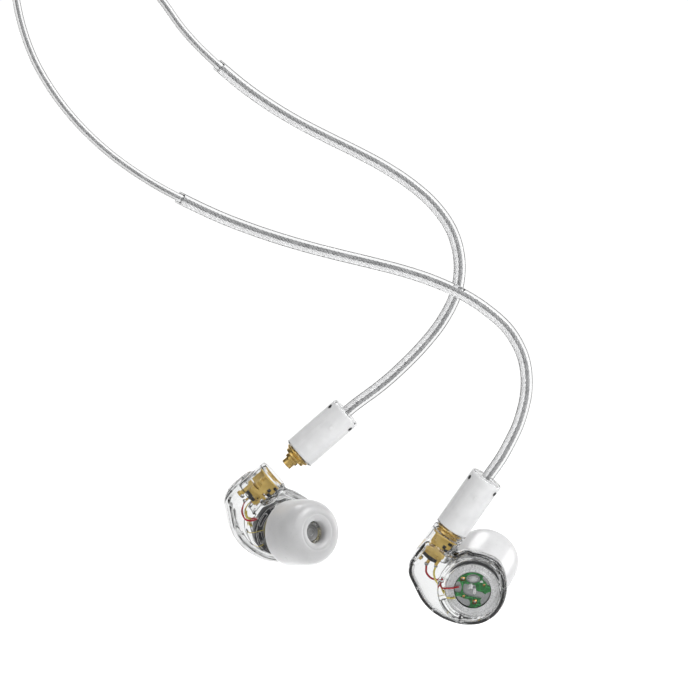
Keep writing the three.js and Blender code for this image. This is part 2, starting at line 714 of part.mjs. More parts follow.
const plugFrame = new THREE.Group();
plugFrame.name = "plug_frame";
plugFrame.position.set(PLUG_X, PLUG_Y, PLUG_Z);
stage.add(plugFrame);
addPieces(plugFrame, "plug_", [
  ["housing", plugHousing(), CLEAR],
  ["sleeve_contact", sleeveContact(), GOLD],
  ["contact_insulator", contactInsulator(), BLACK],
  ["ring_contact", tube(1.05, 1.75, TOP + 8.7, TOP + 10.5, 12), GOLD],
  ["tip_contact", tipContact(), GOLD],
]);

// ---------------------------------------------------------------- origin at the bottom centre
root.updateMatrixWorld(true);
const { min, max } = new THREE.Box3().setFromObject(stage, true);
stage.position.set(-(min.x + max.x) / 2, -(min.y + max.y) / 2, -min.z);
root.updateMatrixWorld(true);

export default root;
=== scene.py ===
import json
import math

import bmesh
import bpy
import numpy as np
import openvdb
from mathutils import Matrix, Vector

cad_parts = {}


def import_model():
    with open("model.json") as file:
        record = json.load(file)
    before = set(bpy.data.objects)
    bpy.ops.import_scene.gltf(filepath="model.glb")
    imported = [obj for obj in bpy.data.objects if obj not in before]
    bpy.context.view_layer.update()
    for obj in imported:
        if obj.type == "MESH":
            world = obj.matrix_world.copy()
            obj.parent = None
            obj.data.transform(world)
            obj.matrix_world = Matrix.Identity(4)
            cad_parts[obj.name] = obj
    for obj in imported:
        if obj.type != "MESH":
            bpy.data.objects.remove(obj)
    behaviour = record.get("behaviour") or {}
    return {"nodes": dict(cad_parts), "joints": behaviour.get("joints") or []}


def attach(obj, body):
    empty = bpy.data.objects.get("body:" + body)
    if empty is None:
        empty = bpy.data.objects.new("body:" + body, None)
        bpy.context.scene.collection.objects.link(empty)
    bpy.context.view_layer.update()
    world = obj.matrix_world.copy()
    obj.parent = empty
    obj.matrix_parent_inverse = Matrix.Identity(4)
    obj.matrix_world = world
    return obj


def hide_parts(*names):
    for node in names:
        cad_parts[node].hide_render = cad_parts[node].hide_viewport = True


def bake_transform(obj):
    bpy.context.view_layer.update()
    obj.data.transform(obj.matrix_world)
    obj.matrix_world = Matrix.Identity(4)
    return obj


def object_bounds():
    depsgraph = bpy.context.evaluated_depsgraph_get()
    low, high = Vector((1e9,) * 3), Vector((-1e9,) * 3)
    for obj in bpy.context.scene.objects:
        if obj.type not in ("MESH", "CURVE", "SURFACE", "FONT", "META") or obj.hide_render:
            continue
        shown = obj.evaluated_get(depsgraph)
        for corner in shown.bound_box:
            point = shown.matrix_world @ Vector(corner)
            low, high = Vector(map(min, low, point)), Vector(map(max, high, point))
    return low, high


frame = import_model()
cad_box = [list(v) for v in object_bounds()]

SIDES = ("left", "right")

# ------------------------------------------------------------------ driving sizes and frames
PLUGGED = {"left": 6.01, "right": 0.43}  # earpiece origin to connector front
NOZZLE_LEAN, NOZZLE_RISE = 0.55, 0.835  # nozzle direction towards -x and +z of the earpiece
DRIVER_CENTRE = (6.17, 9.93)  # x, y in the earpiece
PEG = (12.0, 11.0)  # x, y in the earpiece
SLEEVE_RADIUS, LEAD_RADIUS, COMMON_RADIUS = 1.15, 0.75, 1.1
CONNECTOR_LENGTH = 12.4
GRIP_LENGTH = 24.0  # of the headphone plug


def unit(vector):
    vector = np.array(vector, float)
    return vector / np.linalg.norm(vector)


class Frame:
    """Axes as columns and an origin in mm."""

    def __init__(self, x, y, z, origin):
        self.axes = np.array([x, y, z], float).T
        self.origin = np.array(origin, float)
        self.mirrored = np.linalg.det(self.axes) < 0

    def __call__(self, points):
        return np.asarray(points, float) @ self.axes.T + self.origin


def z_frame(origin, direction):
    """The upright frame turned the short way so that its z lies along the direction."""
    direction = unit(direction)
    axis = np.cross([0, 0, 1], direction)
    skew = np.array([[0, -axis[2], axis[1]], [axis[2], 0, -axis[0]], [-axis[1], axis[0], 0]])
    turn = np.eye(3) + skew + skew @ skew / (1 + direction[2])
    return Frame(turn[:, 0], turn[:, 1], turn[:, 2], origin)


JOINTS = {joint["name"]: joint for joint in frame["joints"]}
EAR, CONNECTOR = {}, {}
for side in SIDES:
    outward = unit(JOINTS[side + "_swivel"]["axis"])
    front = np.array(JOINTS[side + "_swivel"]["pos_m"]) * 1000
    x = -outward
    z = unit((unit(JOINTS[side + "_tip_pull"]["axis"]) + NOZZLE_LEAN * x) / NOZZLE_RISE)
    y = unit(np.cross(z, x) if side == "left" else np.cross(x, z))
    EAR[side] = Frame(x, y, z, front - outward * PLUGGED[side])
    CONNECTOR[side] = z_frame(front, outward)

NOZZLE = z_frame([6.17, 9.5, 3.0], [-NOZZLE_LEAN, 0, NOZZLE_RISE])

# ------------------------------------------------------------------ materials
MATERIALS = {}
MIX_SOCKETS = {"FLOAT": (2, 3, 0), "RGBA": (6, 7, 2)}  # input A, input B, output


class Nodes:
    """Short calls for building a node tree."""

    def __init__(self, owner, output):
        owner.use_nodes = True
        self.tree = owner.node_tree
        self.tree.nodes.clear()
        self.out = self.add(output)

    def add(self, kind):
        return self.tree.nodes.new(kind)

    def set(self, node, key, value):
        if isinstance(value, bpy.types.NodeSocket):
            self.tree.links.new(value, node.inputs[key])
        else:
            node.inputs[key].default_value = value

    def coord(self, scale=None):
        coord = self.add("ShaderNodeTexCoord").outputs["Object"]
        if scale is None:
            return coord
        mapping = self.add("ShaderNodeMapping")
        self.set(mapping, "Vector", coord)
        self.set(mapping, "Scale", scale)
        return mapping.outputs["Vector"]

    def noise(self, scale, detail=3.0, vector=None):
        node = self.add("ShaderNodeTexNoise")
        self.set(node, "Scale", scale)
        self.set(node, "Detail", detail)
        self.set(node, "Roughness", 0.5)
        self.set(node, "Vector", vector if vector is not None else self.coord())
        return node.outputs["Fac"]

    def two_tone(self, factor, dark, light):
        node = self.add("ShaderNodeValToRGB")
        self.set(node, "Fac", factor)
        stops = ((0.3, dark), (0.7, light))
        for element, (position, colour) in zip(node.color_ramp.elements, stops):
            element.position = position
            element.color = (*colour, 1)
        return node.outputs["Color"]

    def remap(self, value, low, high):
        """Spreads the middle half of a noise over low to high."""
        node = self.add("ShaderNodeMapRange")
        self.set(node, "Value", value)
        self.set(node, "From Min", 0.25)
        self.set(node, "From Max", 0.75)
        self.set(node, "To Min", low)
        self.set(node, "To Max", high)
        return node.outputs["Result"]

    def smooth_step(self, value, low, high):
        node = self.add("ShaderNodeMapRange")
        node.interpolation_type = "SMOOTHSTEP"
        self.set(node, "Value", value)
        self.set(node, "From Min", low)
        self.set(node, "From Max", high)
        return node.outputs["Result"]

    def bump(self, height, strength, distance=0.00002):
        node = self.add("ShaderNodeBump")
        self.set(node, "Height", height)
        self.set(node, "Strength", strength)
        self.set(node, "Distance", distance)
        return node.outputs["Normal"]

    def math(self, operation, first, second):
        node = self.add("ShaderNodeMath")
        node.operation = operation
        self.set(node, 0, first)
        self.set(node, 1, second)
        return node.outputs[0]

    def mix(self, kind, factor, first, second):
        node = self.add("ShaderNodeMix")
        node.data_type = kind
        socket_a, socket_b, result = MIX_SOCKETS[kind]
        self.set(node, 0, factor)
        self.set(node, socket_a, first)
        self.set(node, socket_b, second)
        return node.outputs[result]

    def principled(self, **inputs):
        node = self.add("ShaderNodeBsdfPrincipled")
        for key, value in inputs.items():
            self.set(node, key.replace("_", " "), value)
        return node.outputs[0]

    def surface(self, shader):
        self.set(self.out, "Surface", shader)


def material(name):
    MATERIALS[name] = bpy.data.materials.new(name)
    return Nodes(MATERIALS[name], "ShaderNodeOutputMaterial")


def clear(name, tint, roughness, ior, bump, scale):
    """Clear plastic. Light for what lies inside goes straight through it."""
    nodes = material(name)
    mottle = nodes.noise(scale)
    grain = nodes.noise(scale * 6, detail=2)
    plastic_shader = nodes.principled(
        Base_Color=nodes.two_tone(mottle, tint, tuple(min(1, c * 1.015) for c in tint)),
        Roughness=nodes.remap(grain, roughness * 0.6, roughness * 1.5),
        IOR=ior,
        Transmission_Weight=1.0,
        Normal=nodes.bump(mottle, bump, distance=0.00004),
    )
    passing = nodes.add("ShaderNodeBsdfTransparent")
    nodes.set(passing, "Color", (0.97, 0.97, 0.97, 1))
    rays = nodes.add("ShaderNodeLightPath").outputs
    mix = nodes.add("ShaderNodeMixShader")
    nodes.set(mix, 0, nodes.math("MAXIMUM", rays["Is Shadow Ray"], rays["Is Diffuse Ray"]))
    nodes.set(mix, 1, plastic_shader)
    nodes.set(mix, 2, passing.outputs[0])
    nodes.surface(mix.outputs[0])


def plastic(name, dark, light, roughness, scale, bump, coat, subsurface=0, radius=None):
    nodes = material(name)
    mottle = nodes.noise(scale, detail=4)
    grain = nodes.noise(scale * 9, detail=2)
    inputs = dict(
        Base_Color=nodes.two_tone(mottle, dark, light),
        Roughness=nodes.remap(grain, *roughness),
        Normal=nodes.bump(grain, bump),
        Coat_Weight=coat,
    )
    if subsurface:
        inputs.update(
            Subsurface_Weight=subsurface, Subsurface_Radius=radius, Subsurface_Scale=0.001
        )
    nodes.surface(nodes.principled(**inputs))


def metal(name, dark, light, roughness, scale, bump=0.12, metallic=1.0, brushed=None):
    nodes = material(name)
    vector = nodes.coord(brushed)
    mottle = nodes.noise(scale, detail=5, vector=vector)
    grain = nodes.noise(scale * 8, detail=3, vector=vector)
    nodes.surface(nodes.principled(
        Base_Color=nodes.two_tone(mottle, dark, light),
        Metallic=metallic,
        Roughness=nodes.remap(grain, *roughness),
        Normal=nodes.bump(grain, bump),
    ))


def silicone_with_painted_rim(name, dark, light, outline):
    """Silicone with painted light and shade: its grey changes to the outline grey where the surface
    turns away, a painted rim lighter or darker than the middle.
    """
    nodes = material(name)
    mottle = nodes.noise(300.0, detail=4)
    grain = nodes.noise(2600.0, detail=2)
    facing = nodes.add("ShaderNodeLayerWeight")
    nodes.set(facing, "Blend", 0.35)
    # edge is the share of the painted rim, growing where the surface turns from the camera
    edge = nodes.math("POWER", facing.outputs["Facing"], 2.0)
    middle = nodes.two_tone(mottle, (dark, dark, dark + 0.004), (light, light, light + 0.004))
    nodes.surface(nodes.principled(
        Base_Color=nodes.mix("RGBA", edge, middle, (outline, outline, outline + 0.005, 1)),
        Roughness=nodes.remap(grain, 0.26, 0.36),
        Normal=nodes.bump(grain, 0.05),
        Coat_Weight=0.25,
        Subsurface_Weight=0.45,
        Subsurface_Radius=(1.3, 1.3, 1.35),
        Subsurface_Scale=0.001,
    ))


def membrane():
    """Amber film with fine rings."""
    nodes = material("membrane")
    vector = nodes.coord()
    rings = nodes.add("ShaderNodeTexWave")
    rings.wave_type = "RINGS"
    nodes.set(rings, "Scale", 260.0)
    nodes.set(rings, "Distortion", 0.4)
    nodes.set(rings, "Vector", vector)
    nodes.surface(nodes.principled(
        Base_Color=nodes.two_tone(nodes.noise(400), (0.34, 0.30, 0.16), (0.48, 0.43, 0.26)),
        Roughness=nodes.remap(nodes.noise(2000), 0.2, 0.4),
        Normal=nodes.bump(rings.outputs["Fac"], 0.2, distance=0.0001),
        Coat_Weight=0.4,
    ))


def board_green():
    """Green laminate with a net of paler raised lines."""
    nodes = material("board")
    vector = nodes.coord()
    cells = nodes.add("ShaderNodeTexVoronoi")
    cells.feature = "DISTANCE_TO_EDGE"
    nodes.set(cells, "Scale", 900.0)
    nodes.set(cells, "Vector", vector)
    line = nodes.math("LESS_THAN", cells.outputs["Distance"], 0.06)
    green = nodes.two_tone(nodes.noise(500), (0.002, 0.065, 0.009), (0.007, 0.125, 0.019))
    nodes.surface(nodes.principled(
        Base_Color=nodes.mix("RGBA", line, green, (0.015, 0.20, 0.04, 1)),
        Roughness=nodes.remap(nodes.noise(3000), 0.25, 0.45),
        Normal=nodes.bump(line, 0.3, distance=0.00004),
        Coat_Weight=0.3,
    ))


# name, tint, roughness, refractive index, bump strength, noise scale
for row in (
    ("clear_shell", (0.965, 0.97, 0.97), 0.006, 1.33, 0.012, 260),
    ("clear_cover", (0.965, 0.97, 0.97), 0.006, 1.33, 0.01, 240),
    ("clear_housing", (0.98, 0.985, 0.985), 0.04, 1.33, 0.04, 500),
    ("clear_jacket", (0.985, 0.987, 0.988), 0.06, 1.30, 0.05, 600),
    ("clear_sleeve", (0.98, 0.983, 0.985), 0.07, 1.32, 0.06, 500),
):
    clear(*row)

# name, dark, light, roughness range, noise scale, bump strength, coat, subsurface and its radius
for row in (
    ("white_core", (0.565, 0.565, 0.57), (0.625, 0.625, 0.63), (0.4, 0.55), 600, 0.2, 0.1,
     0.25, (0.6, 0.6, 0.6)),
    ("driver_plastic", (0.012, 0.013, 0.015), (0.03, 0.031, 0.034), (0.25, 0.5), 900, 0.2, 0.2),
    ("black_insulator", (0.01, 0.01, 0.011), (0.028, 0.028, 0.03), (0.3, 0.5), 900, 0.2, 0.0),
    ("pale_insulator", (0.62, 0.60, 0.55), (0.74, 0.72, 0.67), (0.4, 0.6), 900, 0.2, 0.0,
     0.2, (0.5, 0.4, 0.3)),
    ("red_wire", (0.22, 0.0, 0.006), (0.36, 0.004, 0.012), (0.25, 0.4), 900, 0.15, 0.3),
    ("yellow_wire", (0.36, 0.30, 0.05), (0.52, 0.44, 0.10), (0.25, 0.4), 900, 0.15, 0.3),
    ("conductor", (0.20, 0.202, 0.206), (0.34, 0.342, 0.346), (0.3, 0.5), 1100, 0.3, 0.2),
    # a pale copy of the conductor, painted light
    ("conductor_pale", (0.66, 0.66, 0.665), (0.78, 0.78, 0.785), (0.35, 0.5), 1100, 0.3, 0.2),
    ("ceramic", (0.34, 0.34, 0.345), (0.5, 0.5, 0.505), (0.35, 0.5), 900, 0.15, 0.2),
    # the glue line's near-black is partly painted shade
    ("seam", (0.010, 0.0105, 0.011), (0.035, 0.036, 0.037), (0.35, 0.5), 700, 0.1, 0.0),
):
    plastic(*row)

# name, dark, light, roughness range, noise scale, bump strength, metallic, noise stretch
for row in (
    ("gold", (0.60, 0.41, 0.11), (0.76, 0.55, 0.175), (0.32, 0.5), 650, 0.15, 0.65),
    ("gold_polished", (0.70, 0.46, 0.13), (0.86, 0.61, 0.22), (0.2, 0.34), 500, 0.06, 0.85),
    ("magnet_steel", (0.66, 0.665, 0.67), (0.8, 0.805, 0.81), (0.25, 0.42), 700),
    ("can_steel", (0.6, 0.605, 0.61), (0.76, 0.765, 0.77), (0.35, 0.5), 600, 0.12, 1.0,
     (1, 8, 1)),
    ("grey_ring", (0.56, 0.56, 0.565), (0.68, 0.68, 0.685), (0.22, 0.36), 700, 0.12, 0.45),
    ("screen_wire", (0.36, 0.36, 0.365), (0.5, 0.5, 0.505), (0.3, 0.5), 900),
    ("solder", (0.55, 0.55, 0.56), (0.75, 0.75, 0.76), (0.15, 0.35), 900),
    ("copper_pad", (0.60, 0.28, 0.10), (0.82, 0.45, 0.18), (0.2, 0.4), 800),
):
    metal(*row)

# painted light and shade on two tips of one silicone: the left tip is painted darker in its middle
# with a light rim, the right one paler and more even with a slightly darker rim
silicone_with_painted_rim("silicone", dark=0.37, light=0.42, outline=0.94)
silicone_with_painted_rim("silicone_pale", dark=0.53, light=0.58, outline=0.46)
TIP_MATERIAL = {"left": "silicone", "right": "silicone_pale"}
membrane()
board_green()


def piece(name, mesh, finish, body, replaces=None, angle=None, where=None, bend=None):
    """Makes an object from a mesh in mm. A piece given bend keeps its place in the world and is not
    attached to its body; bend's points are not read.
    """
    verts, faces = mesh
    verts = np.asarray(verts, float)
    if where is not None:
        verts = where(verts)
        if where.mirrored:
            faces = [tuple(reversed(face)) for face in faces]
    data = bpy.data.meshes.new(name)
    data.from_pydata((verts * 0.001).tolist(), [], [tuple(int(i) for i in f) for f in faces])
    data.validate()
    data.polygons.foreach_set("use_smooth", [True] * len(data.polygons))
    if angle:
        data.set_sharp_from_angle(angle=math.radians(angle))
    data.update()
    made = bpy.data.objects.new(name, data)
    bpy.context.scene.collection.objects.link(made)
    data.materials.append(MATERIALS[finish])
    if bend:
        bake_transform(made)
    else:
        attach(made, body)
    if replaces:
        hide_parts(replaces)


def maker(prefix, where, body, angle=None):
    """A function making pieces of one body in one frame."""

    def put(name, mesh, finish, replaces=None, angle=angle, body=body):
        piece(prefix + name, mesh, finish, body, replaces and prefix + replaces, angle, where)

    return put


# ------------------------------------------------------------------ mesh helpers (mm)
def fillet(points, radius, steps, closed):
    """Rounds each inner corner of a profile."""
    points = [np.array(p, float) for p in points]
    count = len(points)
    out = []
    for i in range(count):
        here = points[i]
        if not closed and i in (0, count - 1):
            out.append(here)
            continue
        back, ahead = points[i - 1] - here, points[(i + 1) % count] - here
        back_length, ahead_length = np.linalg.norm(back), np.linalg.norm(ahead)
        if back_length < 1e-9 or ahead_length < 1e-9:
            out.append(here)
            continue
        back, ahead = back / back_length, ahead / ahead_length
        if np.clip(back @ ahead, -1, 1) < -0.995:
            out.append(here)
            continue
        reach = min(radius, 0.42 * back_length, 0.42 * ahead_length)
        start, end = here + back * reach, here + ahead * reach
        for q in np.linspace(0, 1, steps + 1):
            out.append((1 - q) ** 2 * start + 2 * q * (1 - q) * here + q * q * end)
    return out


def circle(count):
    angles = [2 * math.pi * i / count for i in range(count)]
    return [(math.cos(a), math.sin(a)) for a in angles]


def join_rings(rings, sides, closed=False):
    """A skin over rings of points, any of which may be a single point on the axis."""
    verts, rows, faces = [], [], []
    for ring_points in rings:
        rows.append(range(len(verts), len(verts) + len(ring_points)))
        verts += ring_points
    pairs = list(zip(rows, rows[1:])) + ([(rows[-1], rows[0])] if closed else [])
    for low, high in pairs:
        for i in range(sides):
            j = (i + 1) % sides
            face = [low[i % len(low)], low[j % len(low)], high[j % len(high)], high[i % len(high)]]
            face = list(dict.fromkeys(face))
            if len(face) > 2:
                faces.append(face)
    return np.array(verts, float), faces


def lathe(profile, segments, closed=False):
    """A profile of (radius, z) turned round z; closed returns it to its start."""
    profile = np.array(profile, float)
    radius, z = profile[:, 0], profile[:, 1]
    if radius @ np.roll(z, -1) - np.roll(radius, -1) @ z < 0:
        profile = profile[::-1]
    rings = [
        [(0, 0, z)] if r < 1e-6 else [(r * c, r * s, z) for c, s in circle(segments)]
        for r, z in profile
    ]
    return join_rings(rings, segments, closed)


def turned(profile, rounding, segments, closed=True, steps=3):
    """A lathe piece with rounded corners."""
    return lathe(fillet(profile, rounding, steps, closed), segments, closed)


def ring(inner, outer, bottom, top, rounding, segments, steps=3):
    """A ring of oblong section, or a solid disc where the inner radius is 0."""
    profile = [(inner, bottom), (outer, bottom), (outer, top), (inner, top)]
    return turned(profile, rounding, segments, inner > 0, steps)


def along_x(mesh):
    """Lays a turned piece's z axis along x."""
    verts, faces = mesh
    return np.stack([verts[:, 2], verts[:, 1], -verts[:, 0]], 1), faces


def on_nozzle(mesh):
    return NOZZLE(mesh[0]), mesh[1]


def shift(mesh, offset):
    return np.array(mesh[0], float) + np.array(offset, float), mesh[1]


def at_driver(mesh):
    return shift(mesh, (*DRIVER_CENTRE, 0))


def spin(mesh, angle):
    """Turns a piece about z."""
    x, y, z = mesh[0].T
    cos, sin = math.cos(angle), math.sin(angle)
    return np.stack([x * cos - y * sin, x * sin + y * cos, z], 1), mesh[1]


def merge(*meshes):
    verts, faces, count = [], [], 0
    for mesh_verts, mesh_faces in meshes:
        verts.append(np.array(mesh_verts, float))
        faces += [[i + count for i in face] for face in mesh_faces]
        count += len(mesh_verts)
    return np.vstack(verts), faces


def bevel_prism(points, z_low, z_high, bevel, steps=3):
    """A flat outline given thickness, its sharp edges rounded."""
    points = np.array(points, float)
    x, y = points[:, 0], points[:, 1]
    if x @ np.roll(y, -1) - np.roll(x, -1) @ y < 0:
        points = points[::-1]
    bm = bmesh.new()
    bottom = [bm.verts.new((p[0], p[1], z_low)) for p in points]
    top = [bm.verts.new((p[0], p[1], z_high)) for p in points]
    bm.faces.new(list(reversed(bottom)))
    bm.faces.new(top)
    for i in range(len(points)):
        j = (i + 1) % len(points)
        bm.faces.new((bottom[i], bottom[j], top[j], top[i]))
    sharp = [e for e in bm.edges if e.calc_face_angle(0) > math.radians(28)]
    bmesh.ops.bevel(
        bm, geom=sharp, offset=bevel, segments=steps, profile=0.6, affect="EDGES",
        clamp_overlap=True,
    )
    bmesh.ops.triangulate(bm, faces=[f for f in bm.faces if len(f.verts) > 4])
    bm.verts.index_update()
    verts = [tuple(v.co) for v in bm.verts]
    faces = [[v.index for v in f.verts] for f in bm.faces]
    bm.free()
    return verts, faces


def box(low, high, bevel):
    corners = [(low[0], low[1]), (high[0], low[1]), (high[0], high[1]), (low[0], high[1])]
    return bevel_prism(corners, low[2], high[2], bevel)


def bead(centre, radius, flat=1.0):
    """A ball, flattened along z."""
    angles = np.linspace(0, math.pi, 11)
    profile = [(radius * math.sin(a), -radius * flat * math.cos(a)) for a in angles]
    profile[0], profile[-1] = (0, -radius * flat), (0, radius * flat)
    return shift(lathe(profile, 20), centre)


# ------------------------------------------------------------------ curves
def arc_length(points):
    return np.concatenate([[0], np.cumsum(np.linalg.norm(np.diff(points, axis=0), axis=1))])


def resample(points, lengths, wanted):
    columns = [np.interp(wanted, lengths, column) for column in points.T]
    return np.stack(columns, -1)


def neighbours(points, i):
    """The point before i, i itself and the two after it, round a closed list."""
    return [points[(i + k) % len(points)] for k in (-1, 0, 1, 2)]


def closed_spline(points, count):
    """A closed uniform Catmull-Rom curve, resampled evenly."""
    points = np.array(points, float)
    out = []
    for i in range(len(points)):
        a, b, c, d = neighbours(points, i)
        for q in np.linspace(0, 1, 12, endpoint=False):
            square = (2 * a - 5 * b + 4 * c - d) * q * q
            out.append(0.5 * ((2 * b) + (c - a) * q + square + (3 * b - a - 3 * c + d) * q**3))
    out = np.array(out)
    out = np.vstack([out, out[:1]])
    lengths = arc_length(out)
    return resample(out, lengths, np.linspace(0, lengths[-1], count, endpoint=False))


def smooth_profile(points, steps=4):
    """A closed Hermite curve whose slopes shrink beside short spans."""
    points = np.array(points, float)
    out = []
    for i in range(len(points)):
        before, start, end, after = neighbours(points, i)
        span = np.linalg.norm(end - start)
        span_before = max(np.linalg.norm(start - before), 1e-6)
        span_after = max(np.linalg.norm(after - end), 1e-6)
        start_slope = (end - before) * 0.5 * min(1, span / span_before)
        end_slope = (after - start) * 0.5 * min(1, span / span_after)
        for q in np.linspace(0, 1, steps, endpoint=False):
            out.append(
                (2 * q**3 - 3 * q * q + 1) * start + (q**3 - 2 * q * q + q) * start_slope
                + (-2 * q**3 + 3 * q * q) * end + (q**3 - q * q) * end_slope
            )
    return out


def spline(points, step):
    """Centripetal Catmull-Rom through the points, resampled evenly."""
    p = np.array(points, float)
    p = np.vstack([2 * p[0] - p[1], p, 2 * p[-1] - p[-2]])
    out = []
    for i in range(1, len(p) - 2):
        a, b, c, d = p[i - 1 : i + 3]
        t0 = 0.0
        t1 = t0 + max(np.linalg.norm(b - a), 1e-6) ** 0.5
        t2 = t1 + max(np.linalg.norm(c - b), 1e-6) ** 0.5
        t3 = t2 + max(np.linalg.norm(d - c), 1e-6) ** 0.5
        count = max(4, int(np.linalg.norm(c - b) / 0.25))
        t = np.linspace(t1, t2, count, endpoint=False)[:, None]
        a1 = (t1 - t) / (t1 - t0) * a + (t - t0) / (t1 - t0) * b
        a2 = (t2 - t) / (t2 - t1) * b + (t - t1) / (t2 - t1) * c
        a3 = (t3 - t) / (t3 - t2) * c + (t - t2) / (t3 - t2) * d
        b1 = (t2 - t) / (t2 - t0) * a1 + (t - t0) / (t2 - t0) * a2
        b2 = (t3 - t) / (t3 - t1) * a2 + (t - t1) / (t3 - t1) * a3
        out.append((t2 - t) / (t2 - t1) * b1 + (t - t1) / (t2 - t1) * b2)
    out = np.vstack(out + [p[-2][None]])
    lengths = arc_length(out)
    count = max(2, int(round(lengths[-1] / step)))
    return resample(out, lengths, np.linspace(0, lengths[-1], count + 1))


class Path:
    """A space curve carrying a frame that doesn't twist about it."""

    def __init__(self, points, step=0.5):
        self.points = spline(points, step)
        self.lengths = arc_length(self.points)
        self.length = self.lengths[-1]
        tangents = np.gradient(self.points, axis=0)
        self.tangents = tangents / np.linalg.norm(tangents, axis=1)[:, None]
        normals = [unit(np.cross(self.tangents[0], [0.1, 1.0, 0.05]))]
        for tangent in self.tangents[1:]:
            normal = normals[-1] - tangent * (normals[-1] @ tangent)
            normals.append(normal / np.linalg.norm(normal))
        self.normals = np.array(normals)

    def at(self, distances):
        """Points, tangents, normals and binormals at distances along the path."""
        point, tangent, normal = (
            resample(values, self.lengths, distances)
            for values in (self.points, self.tangents, self.normals)
        )
        tangent /= np.linalg.norm(tangent, axis=-1)[..., None]
        normal -= tangent * (normal * tangent).sum(-1)[..., None]
        normal /= np.linalg.norm(normal, axis=-1)[..., None]
        return point, tangent, normal, np.cross(tangent, normal)


def revolve(path, profile, sides):
    """Turns a profile of (distance along the path, radius) about the path."""
    profile = np.array(profile, float)
    points, _, normals, binormals = path.at(profile[:, 0])
    rings = []
    for point, normal, binormal, radius in zip(points, normals, binormals, profile[:, 1]):
        if radius < 1e-6:
            rings.append([point])
        else:
            rings.append([point + radius * (c * normal + s * binormal) for c, s in circle(sides)])
    return join_rings(rings, sides)


def rod_profile(length, radius, step, rounding, wobble=0.0):
    """A rod with rounded ends; wobble is the share its radius varies by."""
    stations = np.arange(rounding, length - rounding, step)
    body = [(x, radius * (1 + wobble * math.sin(x * 1.7) * math.sin(x * 0.61))) for x in stations]
    end, shoulder = radius - rounding, radius - rounding * 0.3
    return (
        [(0, 0), (0, end), (rounding * 0.3, shoulder)] + body
        + [(length - rounding * 0.3, shoulder), (length, end), (length, 0)]
    )


def wire(points, radius, step=0.12, sides=12):
    path = Path(points, step)
    return revolve(path, rod_profile(path.length, radius, 0.12, min(0.06, radius * 0.5)), sides)


def twisted(path, start, end, radius, wire_radius, pitch, count, sides, step, phase=0.0, aside=0.0):
    """Wires laid in a helix about the path, or about a line beside it."""
    spans = max(4, int((end - start) / step))
    stations = np.linspace(start, end, spans + 1)
    middle, tangent, normal, binormal = path.at(stations)
    away = np.cross(tangent, [0, 1, 0])
    middle = middle + aside * away / np.linalg.norm(away, axis=1)[:, None]
    verts, faces = [], []
    for strand in range(count):
        angle = phase + 2 * math.pi * (stations / pitch + strand / count)
        centre = middle + radius * (
            np.cos(angle)[:, None] * normal + np.sin(angle)[:, None] * binormal
        )
        heading = np.gradient(centre, axis=0)
        heading /= np.linalg.norm(heading, axis=1)[:, None]
        out = centre - middle
        out -= heading * (out * heading).sum(1)[:, None]
        out /= np.maximum(np.linalg.norm(out, axis=1)[:, None], 1e-9)
        across = np.cross(heading, out)
        base = strand * (spans + 1) * sides
        rows = [centre + wire_radius * (c * out + s * across) for c, s in circle(sides)]
        verts.append(np.stack(rows, 1).reshape(-1, 3))
        for i in range(spans):
            low, high = base + i * sides, base + (i + 1) * sides
            for k in range(sides):
                j = (k + 1) % sides
                faces.append([low + k, low + j, high + j, high + k])
        faces.append([base + k for k in reversed(range(sides))])
        faces.append([base + spans * sides + k for k in range(sides)])
    return np.vstack(verts), faces


# ------------------------------------------------------------------ solids from distance fields
class Field:
    """A grid of spacing h, in mm, on which signed distances are worked out."""

    def __init__(self, low, high, h):
        self.low, self.h = np.array(low, float), h
        counts = [int(round((b - a) / h)) + 1 for a, b in zip(low, high)]
        axes = [low[i] + h * np.arange(counts[i]) for i in range(3)]
        self.x, self.y, self.z = np.meshgrid(*axes, indexing="ij", sparse=True)

    def outline(self, points, count):
        """Distance to a closed curve through points of (x, y), the same at every z."""
        curve = closed_spline(points, count)
        return polygon_distance(curve, self.x[:, :, 0], self.y[:, :, 0])[:, :, None]

    def mesh(self, distance, rounds):
        grid = openvdb.FloatGrid(background=3.0)
        grid.copyFromArray(np.ascontiguousarray(np.clip(distance, -3, 3).astype(np.float32)))
        points, quads = grid.convertToQuads(isovalue=0.0)
        points = points * self.h + self.low
        quads = quads[:, ::-1].astype(int)
        # faces point outwards, so the volume they enclose is positive
        a, b, c, d = (points[quads[:, i]] for i in range(4))
        if (np.cross(a, b) * c).sum() + (np.cross(a, c) * d).sum() < 0:
            quads = quads[:, ::-1]
        return relax(points, quads, rounds)


def relax(verts, quads, rounds):
    """Takes the grid's ripple off a field mesh without shrinking it."""
    edges = np.vstack([quads[:, [i, (i + 1) % 4]] for i in range(4)])
    edges = np.vstack([edges, edges[:, ::-1]])
    degree = np.bincount(edges[:, 0], minlength=len(verts)).astype(float)[:, None]
    verts = np.array(verts, float)
    for _ in range(rounds):
        for pull in (0.55, -0.56):
            sums = np.stack([
                np.bincount(edges[:, 0], weights=verts[edges[:, 1], i], minlength=len(verts))
                for i in range(3)
            ], 1)
            verts = verts + pull * (sums / np.maximum(degree, 1) - verts)
    return verts, quads.tolist()


def smax(a, b, k):
    """Intersection of two solids, blended over k. A negated one is cut away."""
    h = np.clip(0.5 - 0.5 * (b - a) / k, 0, 1)
    return b * (1 - h) + a * h + k * h * (1 - h)


def smin(a, b, k):
    """Union of two solids, blended over k."""
    return -smax(-a, -b, k)


